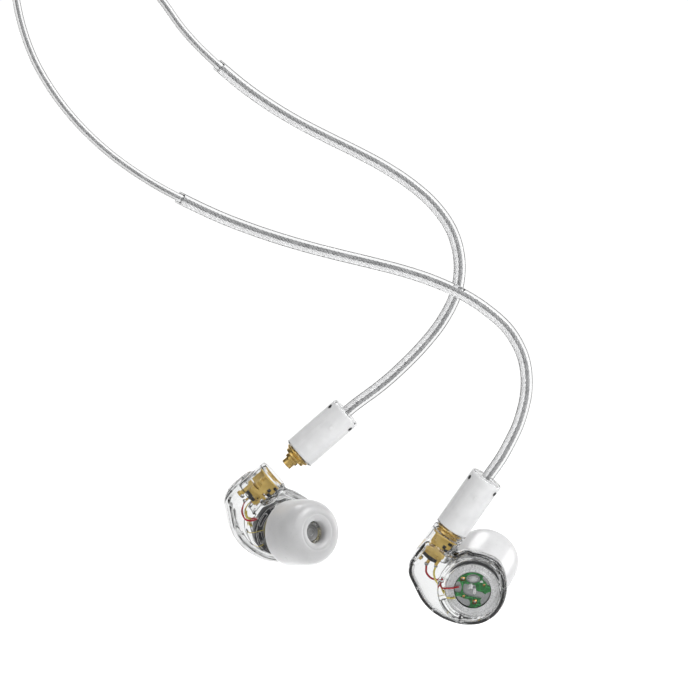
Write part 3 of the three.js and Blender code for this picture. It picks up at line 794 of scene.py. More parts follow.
def polygon_distance(polygon, x, y):
    """Signed distance to a closed outline, negative inside."""
    x, y = np.broadcast_arrays(x, y)
    best = np.full(x.shape, 1e9)
    inside = np.zeros(x.shape, bool)
    for a, b in zip(polygon, np.roll(polygon, -1, axis=0)):
        edge = b - a
        dx, dy = x - a[0], y - a[1]
        t = np.clip((dx * edge[0] + dy * edge[1]) / (edge @ edge), 0, 1)
        best = np.minimum(best, (dx - edge[0] * t) ** 2 + (dy - edge[1] * t) ** 2)
        # a level edge divides by zero, but its crossing is masked out
        with np.errstate(divide="ignore", invalid="ignore"):
            left = x < (b[0] - a[0]) * (y - a[1]) / (b[1] - a[1]) + a[0]
        inside ^= ((a[1] > y) != (b[1] > y)) & left
    return np.where(inside, -1, 1) * np.sqrt(best)


# ------------------------------------------------------------------ earpiece shell and cover
# In the earpiece's frame x runs in from the connector, and z towards the tip's side. The shell
# is an outline in x and y, drawn in more and more towards its two faces.
# x, y round the widest section
SHELL_OUTLINE = [
    (2.6, 0.0), (2.75, -2.0), (3.5, -2.95), (5, -3.22), (7.2, -3.25), (9, -3.0), (10.9, -1.9),
    (12.3, 0.3), (13.6, 2.6), (14.3, 4.8), (14.5, 7), (14.2, 9.4), (13.2, 12.2), (11.4, 14.6),
    (9.3, 16.0), (7.2, 16.55), (4.9, 16.4), (2.8, 15.6), (1.2, 14.5), (0.0, 13.2), (-0.8, 11.8),
    (-1.1, 10.2), (-0.7, 8), (0.0, 6.1), (0.7, 4.4), (2.3, 3.25), (2.6, 1.7),
]
# z, how far the outline is drawn in there
SHELL_INSET = [
    (-5.0, 6.0), (-4.15, 2.6), (-3.9, 1.5), (-3.6, 0.85), (-3.2, 0.4), (-2.7, 0.12),
    (-2.2, 0.02), (-1.0, 0.0), (0.0, 0.12), (1.0, 0.42), (2.0, 0.95), (2.8, 1.6), (3.4, 2.35),
    (3.8, 3.2), (4.1, 4.6), (5.0, 9.0),
]
# distance along the nozzle, radius
NECK = [
    (-0.3, 3.5), (0.8, 3.3), (1.6, 2.9), (2.6, 2.6), (3.4, 2.3), (6.5, 2.3), (6.9, 2.5),
    (7.05, 2.55), (7.6, 2.5), (7.9, 2.3), (8.7, 2.2),
]
WALL = 0.85
SLOPE = 0.92  # brings the drawn-in outline nearer to a true distance

GRID = Field((-2.2, -4.6, -5.4), (15.4, 17.6, 11.6), 0.125)
OUTLINE = GRID.outline(SHELL_OUTLINE, 220)
INSET = np.interp(GRID.z, *zip(*SHELL_INSET))
AROUND = np.arctan2(GRID.y - 6.5, GRID.x - 6.6)
FROM_STEM = np.sqrt((GRID.x - 1.5) ** 2 + GRID.y**2)
FROM_DRIVER = np.sqrt((GRID.x - DRIVER_CENTRE[0]) ** 2 + (GRID.y - DRIVER_CENTRE[1]) ** 2)


def shell():
    """The hollow body with its stem and nozzle, open on the cover's side."""
    x, y, z = GRID.x, GRID.y, GRID.z
    hull = (OUTLINE + INSET) * SLOPE
    hull = smax(hull, z - 3.95, 0.5)
    hull = smax(hull, -4.0 - z, 0.25)
    stem_radius = np.sqrt(y**2 + z**2)
    stem = smax(smax(stem_radius - 3.25, x - 6.2, 0.4), -x, 0.35)
    body = smin(hull, stem, 0.55)
    # distance along the nozzle's axis and from it
    offset = [axis - start for axis, start in zip((x, y, z), NOZZLE.origin)]
    offset = np.stack(np.broadcast_arrays(*offset), -1).astype(np.float32)
    along = offset @ NOZZLE.axes[:, 2].astype(np.float32)
    away = np.sqrt(np.maximum((offset**2).sum(-1) - along**2, 0))
    # the tip's side falls away under the tip's skirt
    body = smax(body, -smax(away - 6.95, 1.6 - along, 0.5), 0.5)
    neck_radius = np.interp(along, *zip(*NECK))
    neck = smax(smax(away - neck_radius, along - 8.7, 0.2), -0.4 - along, 0.2)
    body = smin(body, neck, 0.9)
    # hollow, leaving the stem and the part below the skirt solid
    hollow = (OUTLINE + INSET + WALL) * SLOPE
    hollow = smax(hollow, z - 2.9, 0.5)
    kept_stem = smax(smax(stem_radius - 3.35, x - 5.5, 0.5), -3 - x, 0.3)
    hollow = smax(hollow, -kept_stem, 0.4)
    hollow = smax(hollow, -smax(away - 8.0, 0.6 - along, 0.4), 0.4)
    body = smax(body, -hollow, 0.2)
    # mouth and bore for the jack, then the nozzle's bore
    body = smax(body, -smax(stem_radius - 2.5, x - 0.95, 0.1), 0.12)
    bore = smax(smax(stem_radius - 2.72, x - 6.3, 0.15), 0.9 - x, 0.05)
    body = smax(body, -bore, 0.08)
    body = smax(body, -(away - 1.7 + np.clip(-1.5 - along, 0, 9)), 0.12)
    return GRID.mesh(smax(body, -3.1 - z, 0.08), 2)


def cover():
    """Flat, with a raised round centre, a ring groove and a shallow round window."""
    x, y, z = GRID.x, GRID.y, GRID.z
    centre = 0.46 / (1 + np.exp((FROM_DRIVER - 6.6) / 0.05))
    groove = 0.24 * np.exp(-(((FROM_DRIVER - 5.15) / 0.15) ** 2))
    window = 0.28 / (1 + np.exp((FROM_DRIVER - 3.75) / 0.05))
    rise = centre - groove - window
    rim = (OUTLINE + INSET) * SLOPE
    raised = smax(FROM_DRIVER - 6.95, -4.6 - z, 0.3)
    body = smax(smin(rim, smax(raised, OUTLINE + 0.35, 0.3), 0.25), (-4.0 - rise) - z, 0.15)
    body = smax(body, z + 3.22, 0.08)
    # lip inside the parting plane, cut by five notches and left out near the stem
    lip = smax(np.abs(OUTLINE + 1.08) - 0.16, np.abs(z + 3.0) - 0.42, 0.05)
    notch = np.cos(AROUND * 5 + 0.6) - 0.975
    lip = np.maximum(lip, notch * 0.6)
    lip = np.maximum(lip, 3.9 - FROM_STEM)
    body = smin(body, lip, 0.1)
    # circular wall round the driver, with one gap
    wall = smax(np.abs(FROM_DRIVER - 6.2) - 0.34, np.abs(z + 2.3) - 1.15, 0.08)
    wall = smax(wall, OUTLINE + 1.2, 0.1)
    driver_angle = np.arctan2(y - DRIVER_CENTRE[1], x - DRIVER_CENTRE[0])
    gap = np.cos(driver_angle - math.radians(-52)) - 0.955
    body = smin(body, np.maximum(wall, gap * 5), 0.12)
    peg_distance = np.sqrt((x - PEG[0]) ** 2 + (y - PEG[1]) ** 2)
    peg = smax(peg_distance - 0.42, np.abs(z + 2.6) - 1.2, 0.1)
    return GRID.mesh(smin(body, peg, 0.25), 2)


def seam(half_width):
    """A broken dark band just inside the parting line: a glue line, its dark partly painted shade
    along the parting.
    """
    band = np.maximum(np.abs(OUTLINE + 0.6) - half_width, np.abs(GRID.z + 3.18) - 0.1)
    band = np.maximum(band, 0.5 * (np.cos(AROUND * 9 + 0.7) - 0.95))
    return GRID.mesh(np.maximum(band, 3.6 - FROM_STEM), 2)


SHELL = shell()
COVER = cover()
# glue line and painted shade along the parting, a wider band on the right
GLUE_LINE_AND_SHADE = {"left": seam(0.13), "right": seam(0.27)}

# ------------------------------------------------------------------ earpiece parts
# radius, distance along the nozzle: skirt outside, dome, bore, then the skirt's inside
TIP_PROFILE = [
    (6.28, 2.1), (6.38, 2.6), (6.43, 4.0), (6.43, 5.6), (6.38, 7.0), (6.22, 8.2), (5.88, 9.2),
    (5.3, 10.0), (4.5, 10.46), (3.85, 10.58), (3.45, 10.5), (3.25, 10.56), (2.9, 10.55),
    (2.5, 10.35), (2.22, 10.0), (2.16, 9.6), (2.15, 9.1), (2.64, 8.92), (2.64, 3.9), (3.3, 3.8),
    (3.36, 8.4), (3.6, 9.2), (4.3, 9.68), (5.0, 9.25), (5.5, 8.4), (5.78, 7.0), (5.88, 5.5),
    (5.88, 3.8), (5.84, 2.4), (5.9, 2.06), (6.1, 1.98),
]


def nozzle_screen():
    """A woven wire screen inside a rim, with two flat rings."""
    level, wave, spacing, wire_radius = 8.28, 0.035, 0.2, 0.045
    parts = [ring(1.42, 1.6, 8.15, 8.42, 0.05, 48)]
    for across in np.arange(-1.3, 1.31, spacing):
        half = math.sqrt(1.45**2 - across * across)
        along = np.linspace(-half, half, 24)
        # two crossing wires, one over where the other is under
        for sign, order in ((1, (0, 1, 2)), (-1, (1, 0, 2))):
            height = level + sign * wave * np.sin(along / spacing * math.pi)
            points = np.stack([along, np.full(24, across), height], 1)[:, order]
            path = Path(points, 0.12)
            body = [(x, wire_radius) for x in np.linspace(0.1, path.length - 0.1, 16)]
            ends = [(path.length, wire_radius), (path.length, 0)]
            parts.append(revolve(path, [(0, 0), (0, wire_radius)] + body + ends, 6))
    for radius in (0.62, 1.12):
        parts.append(ring(radius - 0.07, radius + 0.07, 8.2, 8.38, 0.03, 40, steps=2))
    return merge(*parts)


def casing(put, side):
    put("shell", SHELL, "clear_shell", "shell_body")
    put("cover", COVER, "clear_cover", "face_cover")
    put("seam", GLUE_LINE_AND_SHADE[side], "seam")
    put("peg_pin", shift(ring(0, 0.26, -3.5, -1.7, 0.08, 28), (*PEG, 0)), "black_insulator")
    put("screen", on_nozzle(nozzle_screen()), "screen_wire", "nozzle_screen")
    tip = on_nozzle(lathe(smooth_profile(TIP_PROFILE), 96, True))
    put("tip_soft", tip, TIP_MATERIAL[side], "eartip", body=side + "_tip")


def basket_bars():
    """Eight raised bars lying along the basket's rim."""
    bars = []
    for i in range(8):
        verts, faces = box((-0.55, -0.14, -2.22), (0.55, 0.14, -2.0), 0.05)
        verts = np.array(verts)[:, (1, 0, 2)] + [4.45, 0, 0]
        bars.append(spin((verts, faces), math.radians(22.5 + 45 * i)))
    return merge(*bars)


def basket_rim():
    """Two thin rings with eight wire loops between them."""
    parts = [ring(r - 0.05, r + 0.05, -0.34, -0.23, 0.03, 96, steps=2) for r in (4.05, 5.22)]
    for i in range(8):
        start, end = math.radians(45 * i + 8), math.radians(45 * i + 37)
        loop = [
            (radius * math.cos(a), radius * math.sin(a), -0.25)
            for radius, first, last in ((4.4, start, end), (4.95, end, start))
            for a in np.linspace(first, last, 9)
        ]
        parts.append(wire(loop + [loop[0]], 0.05, step=0.15, sides=6))
    return merge(*parts)


def driver(put):
    """The driver, then the board, then the square can beside the driver's middle."""
    basket = [
        (3.7, -2.1), (5.45, -2.1), (5.45, -0.5), (5.3, -0.28), (3.95, -0.28), (3.95, -0.5),
        (4.9, -0.55), (4.9, -1.55), (3.7, -1.55),
    ]
    put("basket", at_driver(turned(basket, 0.08, 96)), "driver_plastic", "driver_basket")
    put("basket_bars", at_driver(basket_bars()), "grey_ring")
    put("basket_rim", at_driver(basket_rim()), "grey_ring")
    leads = (
        [(11.3, 5.7, -0.7), (10.9, 6.1, -0.15), (9.0, 7.34, -0.12), (8.3, 7.9, -0.4)],
        [(12.4, 8.7, -0.7), (12.1, 9.0, -0.15), (10.5, 9.67, -0.12), (9.8, 9.9, -0.4)],
    )
    leads = merge(*[wire(points, 0.075, step=0.1, sides=8) for points in leads])
    put("coil_leads", leads, "yellow_wire")
    magnet = [
        (0, -2.4), (3.5, -2.4), (3.5, -1.35), (3.0, -1.35), (3.0, -1.9), (2.4, -1.9),
        (2.4, -1.25), (0, -1.25),
    ]
    magnet = at_driver(turned(magnet, 0.1, 80, closed=False))
    put("magnet", magnet, "magnet_steel", "magnet_cup")
    # middle dome, rippled surround, then back along the underside
    film = [(0, -0.38), (1.0, -0.42), (2.2, -0.52), (2.7, -0.82)]
    film += [(2.9 + 0.1 * i, -0.62 - 0.06 * math.cos(i * 1.3) - 0.01 * i) for i in range(18)]
    film += [
        (4.72, -0.78), (4.72, -0.86), (4.6, -0.86), (3.7, -0.80), (2.7, -0.96), (2.2, -0.68),
        (0, -0.55),
    ]
    put("film", at_driver(lathe(film, 80)), "membrane", "diaphragm")
    back_ring = [
        (3.7, -3.05), (3.95, -3.05), (4.0, -2.92), (4.7, -2.86), (4.76, -3.05), (5.0, -3.05),
        (5.0, -2.55), (3.7, -2.55),
    ]
    put("ring", at_driver(turned(back_ring, 0.06, 96)), "grey_ring", "back_ring")
    board(put)
    armature = box((7.0, 8.5, 0.2), (10.7, 11.1, 1.7), 0.22)
    put("armature", armature, "can_steel", "balanced_armature")
    spout = [(0.0, 1.72), (0.55, 1.72), (0.55, 2.0), (0.4, 2.1), (0, 2.1)]
    spout = shift(turned(spout, 0.06, 32, closed=False), (8.0, 9.8, 0))
    put("armature_spout", spout, "can_steel")


# ------------------------------------------------------------------ circuit board
# Drawn in its own x and y, then turned by this cosine and sine.
BOARD_TURN = (-0.569, 0.822)
# x, y, half width, half height
BOARD_PADS = [
    (-1.85, 2.1, 0.42, 0.36), (0.4, -2.35, 0.42, 0.4), (-1.75, -1.3, 0.22, 0.2),
    (2.2, 0.9, 0.22, 0.22),
]
BOARD_CHIPS = [(-0.45, 0.55, 0.5, 0.42), (0.35, -0.3, 0.3, 0.55), (1.7, 1.6, 0.3, 0.2)]
BOARD_TINNING = [
    (-0.45, 1.02, 0.4, 0.1), (-0.45, 0.1, 0.4, 0.1), (0.35, 0.28, 0.28, 0.08),
    (0.35, -0.86, 0.28, 0.08),
]


def oval(x, y, half_width, half_height):
    angles = np.linspace(0, 2 * math.pi, 12, endpoint=False)
    return [(x + half_width * math.cos(a), y + half_height * math.sin(a)) for a in angles]


# x, y round each opening
BOARD_HOLES = [
    oval(0.1, 2.1, 1.35, 0.9),
    [(-1.7, 1.05), (-0.6, 0.95), (0.5, 0.9), (0.75, -0.2), (1.8, -0.5), (2.5, -1.2),
     (1.6, -1.7), (0.2, -1.5), (-1.0, -1.2), (-1.8, -0.6)],
    [(-3.3, 1.4), (-2.5, 1.5), (-2.1, 0.4), (-2.5, -0.6), (-3.4, -0.4), (-4.2, 0.5)],
    [(-2.9, -1.3), (-1.5, -1.8), (-0.7, -2.0), (-0.6, -3.1), (-2.0, -4.0), (-3.2, -2.4)],
    [(1.5, -2.1), (3.0, -0.5), (4.4, -0.9), (3.4, -2.4), (2.0, -3.6)],
    [(1.9, 2.3), (2.5, 1.5), (3.1, 0.8), (4.4, 1.4), (3.2, 3.2)],
    [(-3.2, 3.4), (-2.7, 2.0), (-3.0, 1.9), (-4.4, 2.2)],
]


def board_turn(points):
    cos, sin = BOARD_TURN
    return [(cos * x - sin * y, sin * x + cos * y) for x, y in points]


def board_blocks(rows, bottom, top, bevel, steps):
    """Oblong blocks from rows of x, y, half width and half height."""
    blocks = []
    for x, y, a, b in rows:
        corners = [(x - a, y - b), (x + a, y - b), (x + a, y + b), (x - a, y + b)]
        blocks.append(bevel_prism(board_turn(corners), bottom, top, bevel, steps))
    return blocks


def board(put):
    """The round circuit board: laminate with ragged openings, pads, parts and solder."""
    field = Field((-3.8, -3.8, -3.08), (3.8, 3.8, -2.5), 0.07)
    body = np.sqrt(field.x**2 + field.y**2) - 3.5
    for hole in BOARD_HOLES:
        body = np.maximum(body, -field.outline(board_turn(hole), 40))
    body = smax(body, np.abs(field.z + 2.8) - 0.19, 0.04)
    put("board", at_driver(field.mesh(body, 2)), "board", "crossover_board")
    pads = board_blocks(BOARD_PADS, -3.07, -2.97, bevel=0.04, steps=2)
    chips = board_blocks(BOARD_CHIPS, -3.08, -2.6, bevel=0.06, steps=3)
    chips.append(bevel_prism(board_turn(oval(0.1, 2.1, 1.0, 0.62)), -2.72, -2.5, 0.06, 2))
    tinning = board_blocks(BOARD_TINNING, -3.0, -2.7, bevel=0.03, steps=2)
    # a bead of solder on each of the two large pads
    large_pads = board_turn([row[:2] for row in BOARD_PADS[:2]])
    tinning += [bead((x, y, -3.06), 0.2, 0.35) for x, y in large_pads]
    put("pads", at_driver(merge(*pads)), "copper_pad")
    put("chips", at_driver(merge(*chips)), "ceramic")
    put("tinning", at_driver(merge(*tinning)), "solder")


# ------------------------------------------------------------------ jack inside the earpiece
# x range, y range, z range of the blocks added behind the square body
JACK_BLOCKS = [
    ((4.3, 5.05), (-1.95, 1.9), (-1.8, 1.8)),
    ((3.7, 4.5), (-0.75, 0.5), (-1.78, 1.78)),
    ((4.9, 7.6), (-1.9, -1.4), (-0.5, 0.5)),
    ((7.1, 7.75), (-2.0, -1.2), (-0.55, 0.55)),
    ((4.9, 6.9), (1.2, 1.85), (-0.85, 0.85)),
]
# x range, y range, half depth of the pockets cut in both z faces
JACK_POCKETS = [
    ((1.75, 2.45), (-2.4, -1.35), 0.32), ((3.05, 3.5), (-2.4, -0.9), 0.25),
    ((3.3, 4.2), (0.9, 2.4), 0.4),
]
# x and y of two opposite corners of the inserts on both z faces
JACK_KEYS = [(2.45, 0.6, 3.1, 1.2), (1.45, 1.15, 2.0, 1.85), (3.05, 1.2, 3.75, 1.85)]


def jack_body():
    """A square block with pockets, a neck, a crossbar and two prongs, bored for the plug."""
    field = Field((0.6, -2.8, -2.8), (8.1, 2.8, 2.8), 0.07)
    x = field.x
    radius = np.sqrt(field.y**2 + field.z**2)

    def block(*ranges):
        sides = [
            np.abs(axis - (low + high) / 2) - (high - low) / 2
            for axis, (low, high) in zip((x, field.y, field.z), ranges)
        ]
        return np.maximum(np.maximum(sides[0], sides[1]), sides[2])

    body = np.maximum(radius - 2.58, np.abs(x - 1.2) - 0.2)
    body = smin(body, block((1.0, 3.9), (-1.95, 1.95), (-1.75, 1.75)), 0.05)
    for z in (-1.75, 1.75):
        for x_range, y_range, depth in JACK_POCKETS:
            body = smax(body, -block(x_range, y_range, (z - depth, z + depth)), 0.04)
    body = smin(body, np.maximum(radius - 1.4, np.abs(x - 4.75) - 1.0), 0.05)
    for ranges in JACK_BLOCKS:
        body = smin(body, block(*ranges), 0.05)
    # a bore in three steps
    narrow = np.minimum(np.maximum(radius - 1.3, x - 3.55), radius - 0.9)
    bore = np.minimum(np.maximum(radius - 1.65, x - 1.78), narrow)
    return field.mesh(smax(body, -bore, 0.04), 1)


def jack(put):
    put("jack", jack_body(), "gold", "jack_body")
    keys = [
        box((x0, y0, z - 0.1), (x1, y1, z + 0.1), 0.04)
        for z in (-1.78, 1.78)
        for x0, y0, x1, y1 in JACK_KEYS
    ]
    keys.append(box((1.5, 1.9, -1.2), (3.7, 2.15, 1.2), 0.06))
    put("jack_keys", merge(*keys), "black_insulator")
    collar = [(0.45, 5.85), (1.55, 5.85), (1.55, 6.5), (0.9, 6.7), (0.45, 6.7)]
    put("jack_collar", along_x(turned(collar, 0.08, 48)), "black_insulator")
    sleeve = [(0.8, 4.1), (0.8, 6.3), (0.42, 6.3), (0.42, 5.2), (0.65, 5.0), (0.65, 4.1)]
    sleeve = along_x(lathe(sleeve, 48, True))
    put("jack_sleeve", sleeve, "black_insulator", "jack_insulator", angle=30)
    pin = [
        (0, 4.05), (0.38, 4.05), (0.38, 3.3), (0.57, 3.3), (0.57, 4.6), (0.32, 4.7),
        (0.32, 7.5), (0, 7.5),
    ]
    pin = along_x(turned(pin, 0.05, 36, closed=False))
    put("jack_pin", pin, "gold_polished", "jack_contact")


# name, material, radius, replaced piece, points
EAR_WIRES = [
    ("red", "red_wire", 0.2, "red_wire",
     [(7.85, 0.0, 0.1), (8.6, 0.45, 0.5), (9.4, 1.0, 0.9), (9.8, 2.3, 1.1), (9.3, 3.6, 0.9),
      (8.3, 4.2, 0.6)]),
    ("yellow", "yellow_wire", 0.2, "yellow_wire",
     [(7.15, 1.75, -0.6), (8.0, 2.0, -1.0), (8.8, 2.7, -1.2), (9.3, 3.6, -1.3),
      (9.3, 4.6, -1.4)]),
    ("red_tail", "red_wire", 0.16, None,
     [(8.3, 4.2, 0.6), (9.0, 4.3, -0.9), (9.4, 4.9, -2.4), (8.6, 6.0, -3.12),
      (7.18, 7.49, -3.13)]),
    ("yellow_tail", "yellow_wire", 0.15, None,
     [(9.3, 4.6, -1.4), (9.8, 5.4, -2.5), (10.2, 6.7, -3.1), (9.5, 8.2, -3.12)]),
]


def ear_wiring(put):
    # centre, radius, flattening
    beads = [
        ((7.75, -0.02, 0.05), 0.42, 0.8), ((7.35, -1.3, 0.5), 0.36, 0.7),
        ((7.0, 1.7, -0.55), 0.36, 0.8), ((8.3, 4.2, 0.55), 0.3, 1.0),
    ]
    put("solder", merge(*[bead(*row) for row in beads]), "solder")
    for name, finish, radius, replaced, points in EAR_WIRES:
        put(name, wire(points, radius), finish, replaced)


def earpiece(side):
    put = maker(side + "_", EAR[side], side + "_earpiece")
    casing(put, side)
    driver(put)
    jack(put)
    ear_wiring(put)


# ------------------------------------------------------------------ connectors
def stud(angle, z, radius, out):
    """A small round button standing on the connector's side."""
    verts, faces = ring(0, radius, -0.12, 0.12, 0.08, 28)
    verts = np.stack([verts[:, 2] + out, verts[:, 0], verts[:, 1] + z], 1)
    return spin((verts, faces), angle)


def connector(side):
    """Its front face is at z = 0, its plug below that and its lead at the far end."""
    length = CONNECTOR_LENGTH
    put = maker(side + "_", CONNECTOR[side], side + "_lead")
    skin = [
        (3.05, 0), (3.3, 0.25), (3.3, length - 0.25), (3.05, length), (1.5, length),
        (1.5, length - 0.25), (2.72, length - 0.25), (2.72, 0.25), (2.2, 0.25), (2.2, 0),
    ]
    put("skin", turned(skin, 0.1, 80), "clear_housing", "connector_shell")
    core = [
        (2.15, 0.28), (2.6, 0.28), (2.78, 0.5), (2.78, length - 0.55), (2.6, length - 0.28),
        (1.45, length - 0.28), (1.45, 5.0), (2.15, 4.6),
    ]
    put("core", turned(core, 0.1, 80), "white_core", "connector_core")
    # angles are counted from the side that faces the camera
    towards = CONNECTOR[side].axes.T @ np.array([0, -1.0, 0])
    facing = math.atan2(towards[1], towards[0])
    # painted shade: the dimples are small hollows, made as black studs at the sides and back
    dimples = [stud(facing + math.radians(a), length - 1.7, 0.42, 2.80) for a in (-72, 72, 180)]
    put("dimples", merge(*dimples), "black_insulator")
    put("stud", stud(facing + math.radians(8), length - 4.1, 0.5, 2.76), "white_core")
    plug = [
        (1.065, -3.2), (1.065, -2.02), (1.0, -1.95), (1.0, -1.35), (1.065, -1.28),
        (1.065, -1.15), (2.165, -1.15), (2.165, -0.7), (2.3, -0.62), (2.66, -0.3),
        (2.66, -0.06), (2.0, -0.06), (2.0, 4.2), (0.8, 4.2), (0.8, -3.2),
    ]
    put("plug", turned(plug, 0.05, 72), "gold_polished", "plug_body")
    put("plug_bush", ring(0.36, 0.68, -2.3, 4.0, 0.05, 48), "pale_insulator", "plug_insulator")
    pin = [(0, -3.1), (0.13, -3.06), (0.22, -2.97), (0.25, -2.8), (0.25, 4.6), (0, 4.6)]
    put("pin", lathe(pin, 32), "gold_polished", "plug_pin")
    arc = np.radians(np.linspace(25, 335, 60))
    split_ring = [
        (radius * math.cos(a), radius * math.sin(a))
        for radius, angles in ((1.45, arc), (1.14, arc[::-1]))
        for a in angles
    ]
    split_ring = bevel_prism(split_ring, -1.95, -1.35, 0.07)
    lock_body = side + "_lock_ring"
    put("ring_split", split_ring, "gold_polished", "lock_ring", angle=40, body=lock_body)


# ------------------------------------------------------------------ leads
# x, y, z before SHIFT is added. Upper is the thin lead down from the split, step the mouth of
# the thicker sleeve and lower the sleeve; tail gives distances out from the connector's front.
LEADS = {
    "right": dict(
        upper=[
            (-65.2, 0, 134), (-65.2, 0, 128), (-65.2, 0, 120), (-65.2, 0, 112),
            (-65.2, 0, 106), (-65.1, 0, 98), (-64.9, 0, 90), (-64.5, 0, 82), (-63.9, 0, 74),
            (-62.99, 0, 65.86), (-61.6, 0, 60.04), (-59.45, 0, 54.45), (-56.48, 0, 49.25),
            (-52.92, 0, 44.42), (-48.84, 0, 40.03), (-44.33, 0, 36.07), (-39.45, -0.1, 32.58),
            (-36.0, -0.15, 30.45),
        ],
        step=(-31.6, -0.3, 28.07),
        lower=[
            (-28.95, -0.4, 26.75), (-23.49, -0.7, 24.25), (-17.89, -1.1, 22.09),
            (-12.2, -1.6, 20.17), (-6.44, -2.2, 18.48), (-0.62, -2.8, 16.98),
            (5.21, -3.3, 15.57), (11.01, -3.7, 14.07), (16.72, -3.9, 12.2), (22.21, -4.0, 9.75),
            (27.26, -4.0, 6.55), (31.66, -3.95, 2.45), (34.37, -3.85, -2.85),
            (34.9, -3.75, -8.82), (33.58, -3.6, -14.7), (32.0, -3.35, -18.3),
        ],
        tail=(17.0, 12.6, 8.6),
    ),
    "left": dict(
        upper=[
            (-63.0, 0, 134), (-63.0, 0, 128), (-63.0, 0, 120), (-63.0, 0, 112),
            (-62.7, 0, 106), (-60.6, 0, 99), (-56.6, 0, 91.5), (-51.3, 0, 84.5),
            (-45.6, 0, 78), (-40.0, 0, 72.1), (-34.86, 0, 65.88), (-31.37, 0, 61.01),
            (-28.2, 0, 57.4),
        ],
        step=(-24.1, 0, 53.48),
        lower=[
            (-22.0, 0.02, 51.7), (-18.28, 0.05, 48.72), (-13.33, 0.1, 45.33),
            (-8.16, 0.15, 42.29), (-2.82, 0.2, 39.55), (2.57, 0.25, 36.89), (7.84, 0.3, 34.04),
            (12.85, 0.35, 30.72), (17.33, 0.4, 26.73), (20.73, 0.4, 21.8), (22.22, 0.4, 15.98),
            (21.6, 0.3, 10.0), (18.92, 0.1, 4.5), (15.2, -0.4, -0.26), (10.97, -0.95, -4.58),
            (7.2, -1.35, -7.9),
        ],
        tail=(13.6, 8.6),
    ),
}
SHIFT = np.array(JOINTS["left_lead_flex"]["pos_m"]) * 1000 - np.array(LEADS["left"]["step"])
FLEX_GAP = 0.35


def lead(side):
    row = LEADS[side]
    plug = CONNECTOR[side]
    body = side + "_lead"
    step, upper, lower = (np.array(row[key], float) + SHIFT for key in ("step", "upper", "lower"))
    back = unit(upper[-1] - step)
    onward = unit(lower[0] - step)
    thin = Path(np.vstack([upper, step + back * FLEX_GAP, step + onward * FLEX_GAP * 2.4]))
    tail = [plug.origin + plug.axes[:, 2] * distance for distance in row["tail"]]
    thick = Path(np.vstack([step + back * 0.5, lower, np.array(tail)]))
    # the thin lead runs a little way into the sleeve's mouth
    bend = (tuple((step + back * 4.0) / 1000), tuple((step + back * 0.1) / 1000))
    jacket = rod_profile(thin.length, LEAD_RADIUS, step=0.7, rounding=0.1, wobble=0.004)
    jacket = revolve(thin, jacket, 32)
    piece(side + "_thin_jacket", jacket, "clear_jacket", body, side + "_lead_jacket", bend=bend)
    strands = twisted(
        thin, 0.15, thin.length - 0.15, radius=0.12, wire_radius=0.135, pitch=3.0, count=4,
        sides=7, step=0.34,
    )
    piece(side + "_thin_strands", strands, "conductor", body, side + "_lead_wires", bend=bend)
    # sleeve: square mouth with a bore, then solid to the housing
    mouth = [(0.95, 0), (0.95, 0.79), (0.0, 0.81), (0.0, 1.08), (0.05, 1.13), (0.14, SLEEVE_RADIUS)]
    middle = [
        (x, SLEEVE_RADIUS * (1 + 0.004 * math.sin(x * 0.9) * math.sin(x * 0.37)))
        for x in np.arange(0.7, thick.length - 0.5, 0.7)
    ]
    end = [
        (thick.length - 0.1, SLEEVE_RADIUS), (thick.length, SLEEVE_RADIUS - 0.1),
        (thick.length, 0),
    ]
    sleeve = revolve(thick, mouth + middle + end, 40)
    piece(side + "_sleeve", sleeve, "clear_sleeve", body, side + "_lead_sleeve", angle=50)
    strands = twisted(
        thick, 1.1, thick.length - 0.3, radius=0.19, wire_radius=0.2, pitch=3.4, count=4,
        sides=8, step=0.34, aside=0.08,
    )
    piece(side + "_sleeve_strands", strands, "conductor", body, side + "_sleeve_wires")
    # painted light: a pale bundle beside the dark core, on the side away from the highlight, gives
    # the lighter band there
    strands = twisted(
        thick, 1.1, thick.length - 0.3, radius=0.24, wire_radius=0.17, pitch=5.0, count=5,
        sides=7, step=0.4, phase=1.0, aside=-0.42,
    )
    piece(side + "_sleeve_strands_painted_light", strands, "conductor_pale", body)


# ------------------------------------------------------------------ slider, split, common cable
LEADS_X = (-65.2, -63.0)  # where the two leads hang side by side
COMMON_X = -64.1
LEAD_BORE = 0.98


def slider():
    """A flat-sided block with two bores and three grooves round it."""
    field = Field((-69, -2.6, 107.4), (-59.2, 2.6, 115.6), 0.14)
    x, y, z = field.x, field.y, field.z
    from_core = np.sqrt((x - np.clip(x, -65.45, -62.75)) ** 2 + y**2)
    body = smax(from_core - 1.95, np.abs(z - 111.5) - 3.5, 0.5)
    for lead_x in LEADS_X:
        body = smax(body, -(np.sqrt((x - lead_x) ** 2 + y**2) - LEAD_BORE), 0.12)
    for level in (109.5, 111.5, 113.5):
        groove = np.sqrt((from_core - 2.05) ** 2 + (z - level) ** 2) - 0.3
        body = smax(body, -groove, 0.1)
    mesh = shift(field.mesh(body, 3), SHIFT)
    piece("slider_clear", mesh, "clear_housing", "slider", "cable_slider")


def split():
    """A round block tapering upwards, bored for two leads below and one cable above."""
    field = Field((-67.8, -3.6, 131.4), (-60.4, 3.6, 145.6), 0.14)
    x, y, z = field.x, field.y, field.z
    radius = np.sqrt((x - COMMON_X) ** 2 + y**2)
    heights = [132, 132.4, 140, 142, 144.4, 145]
    body = radius - np.interp(z, heights, [2.85, 3.0, 3.0, 2.65, 2.15, 2.0])
    body = smax(body, np.abs(z - 138.5) - 6.5, 0.4)
    for lead_x in LEADS_X:
        bore = smax(np.sqrt((x - lead_x) ** 2 + y**2) - LEAD_BORE, z - 136, 0.1)
        body = smax(body, -bore, 0.12)
    body = smax(body, -smax(radius - 1.3, 140 - z, 0.1), 0.12)
    mesh = shift(field.mesh(body, 3), SHIFT)
    piece("split_clear", mesh, "clear_housing", "harness", "y_split")


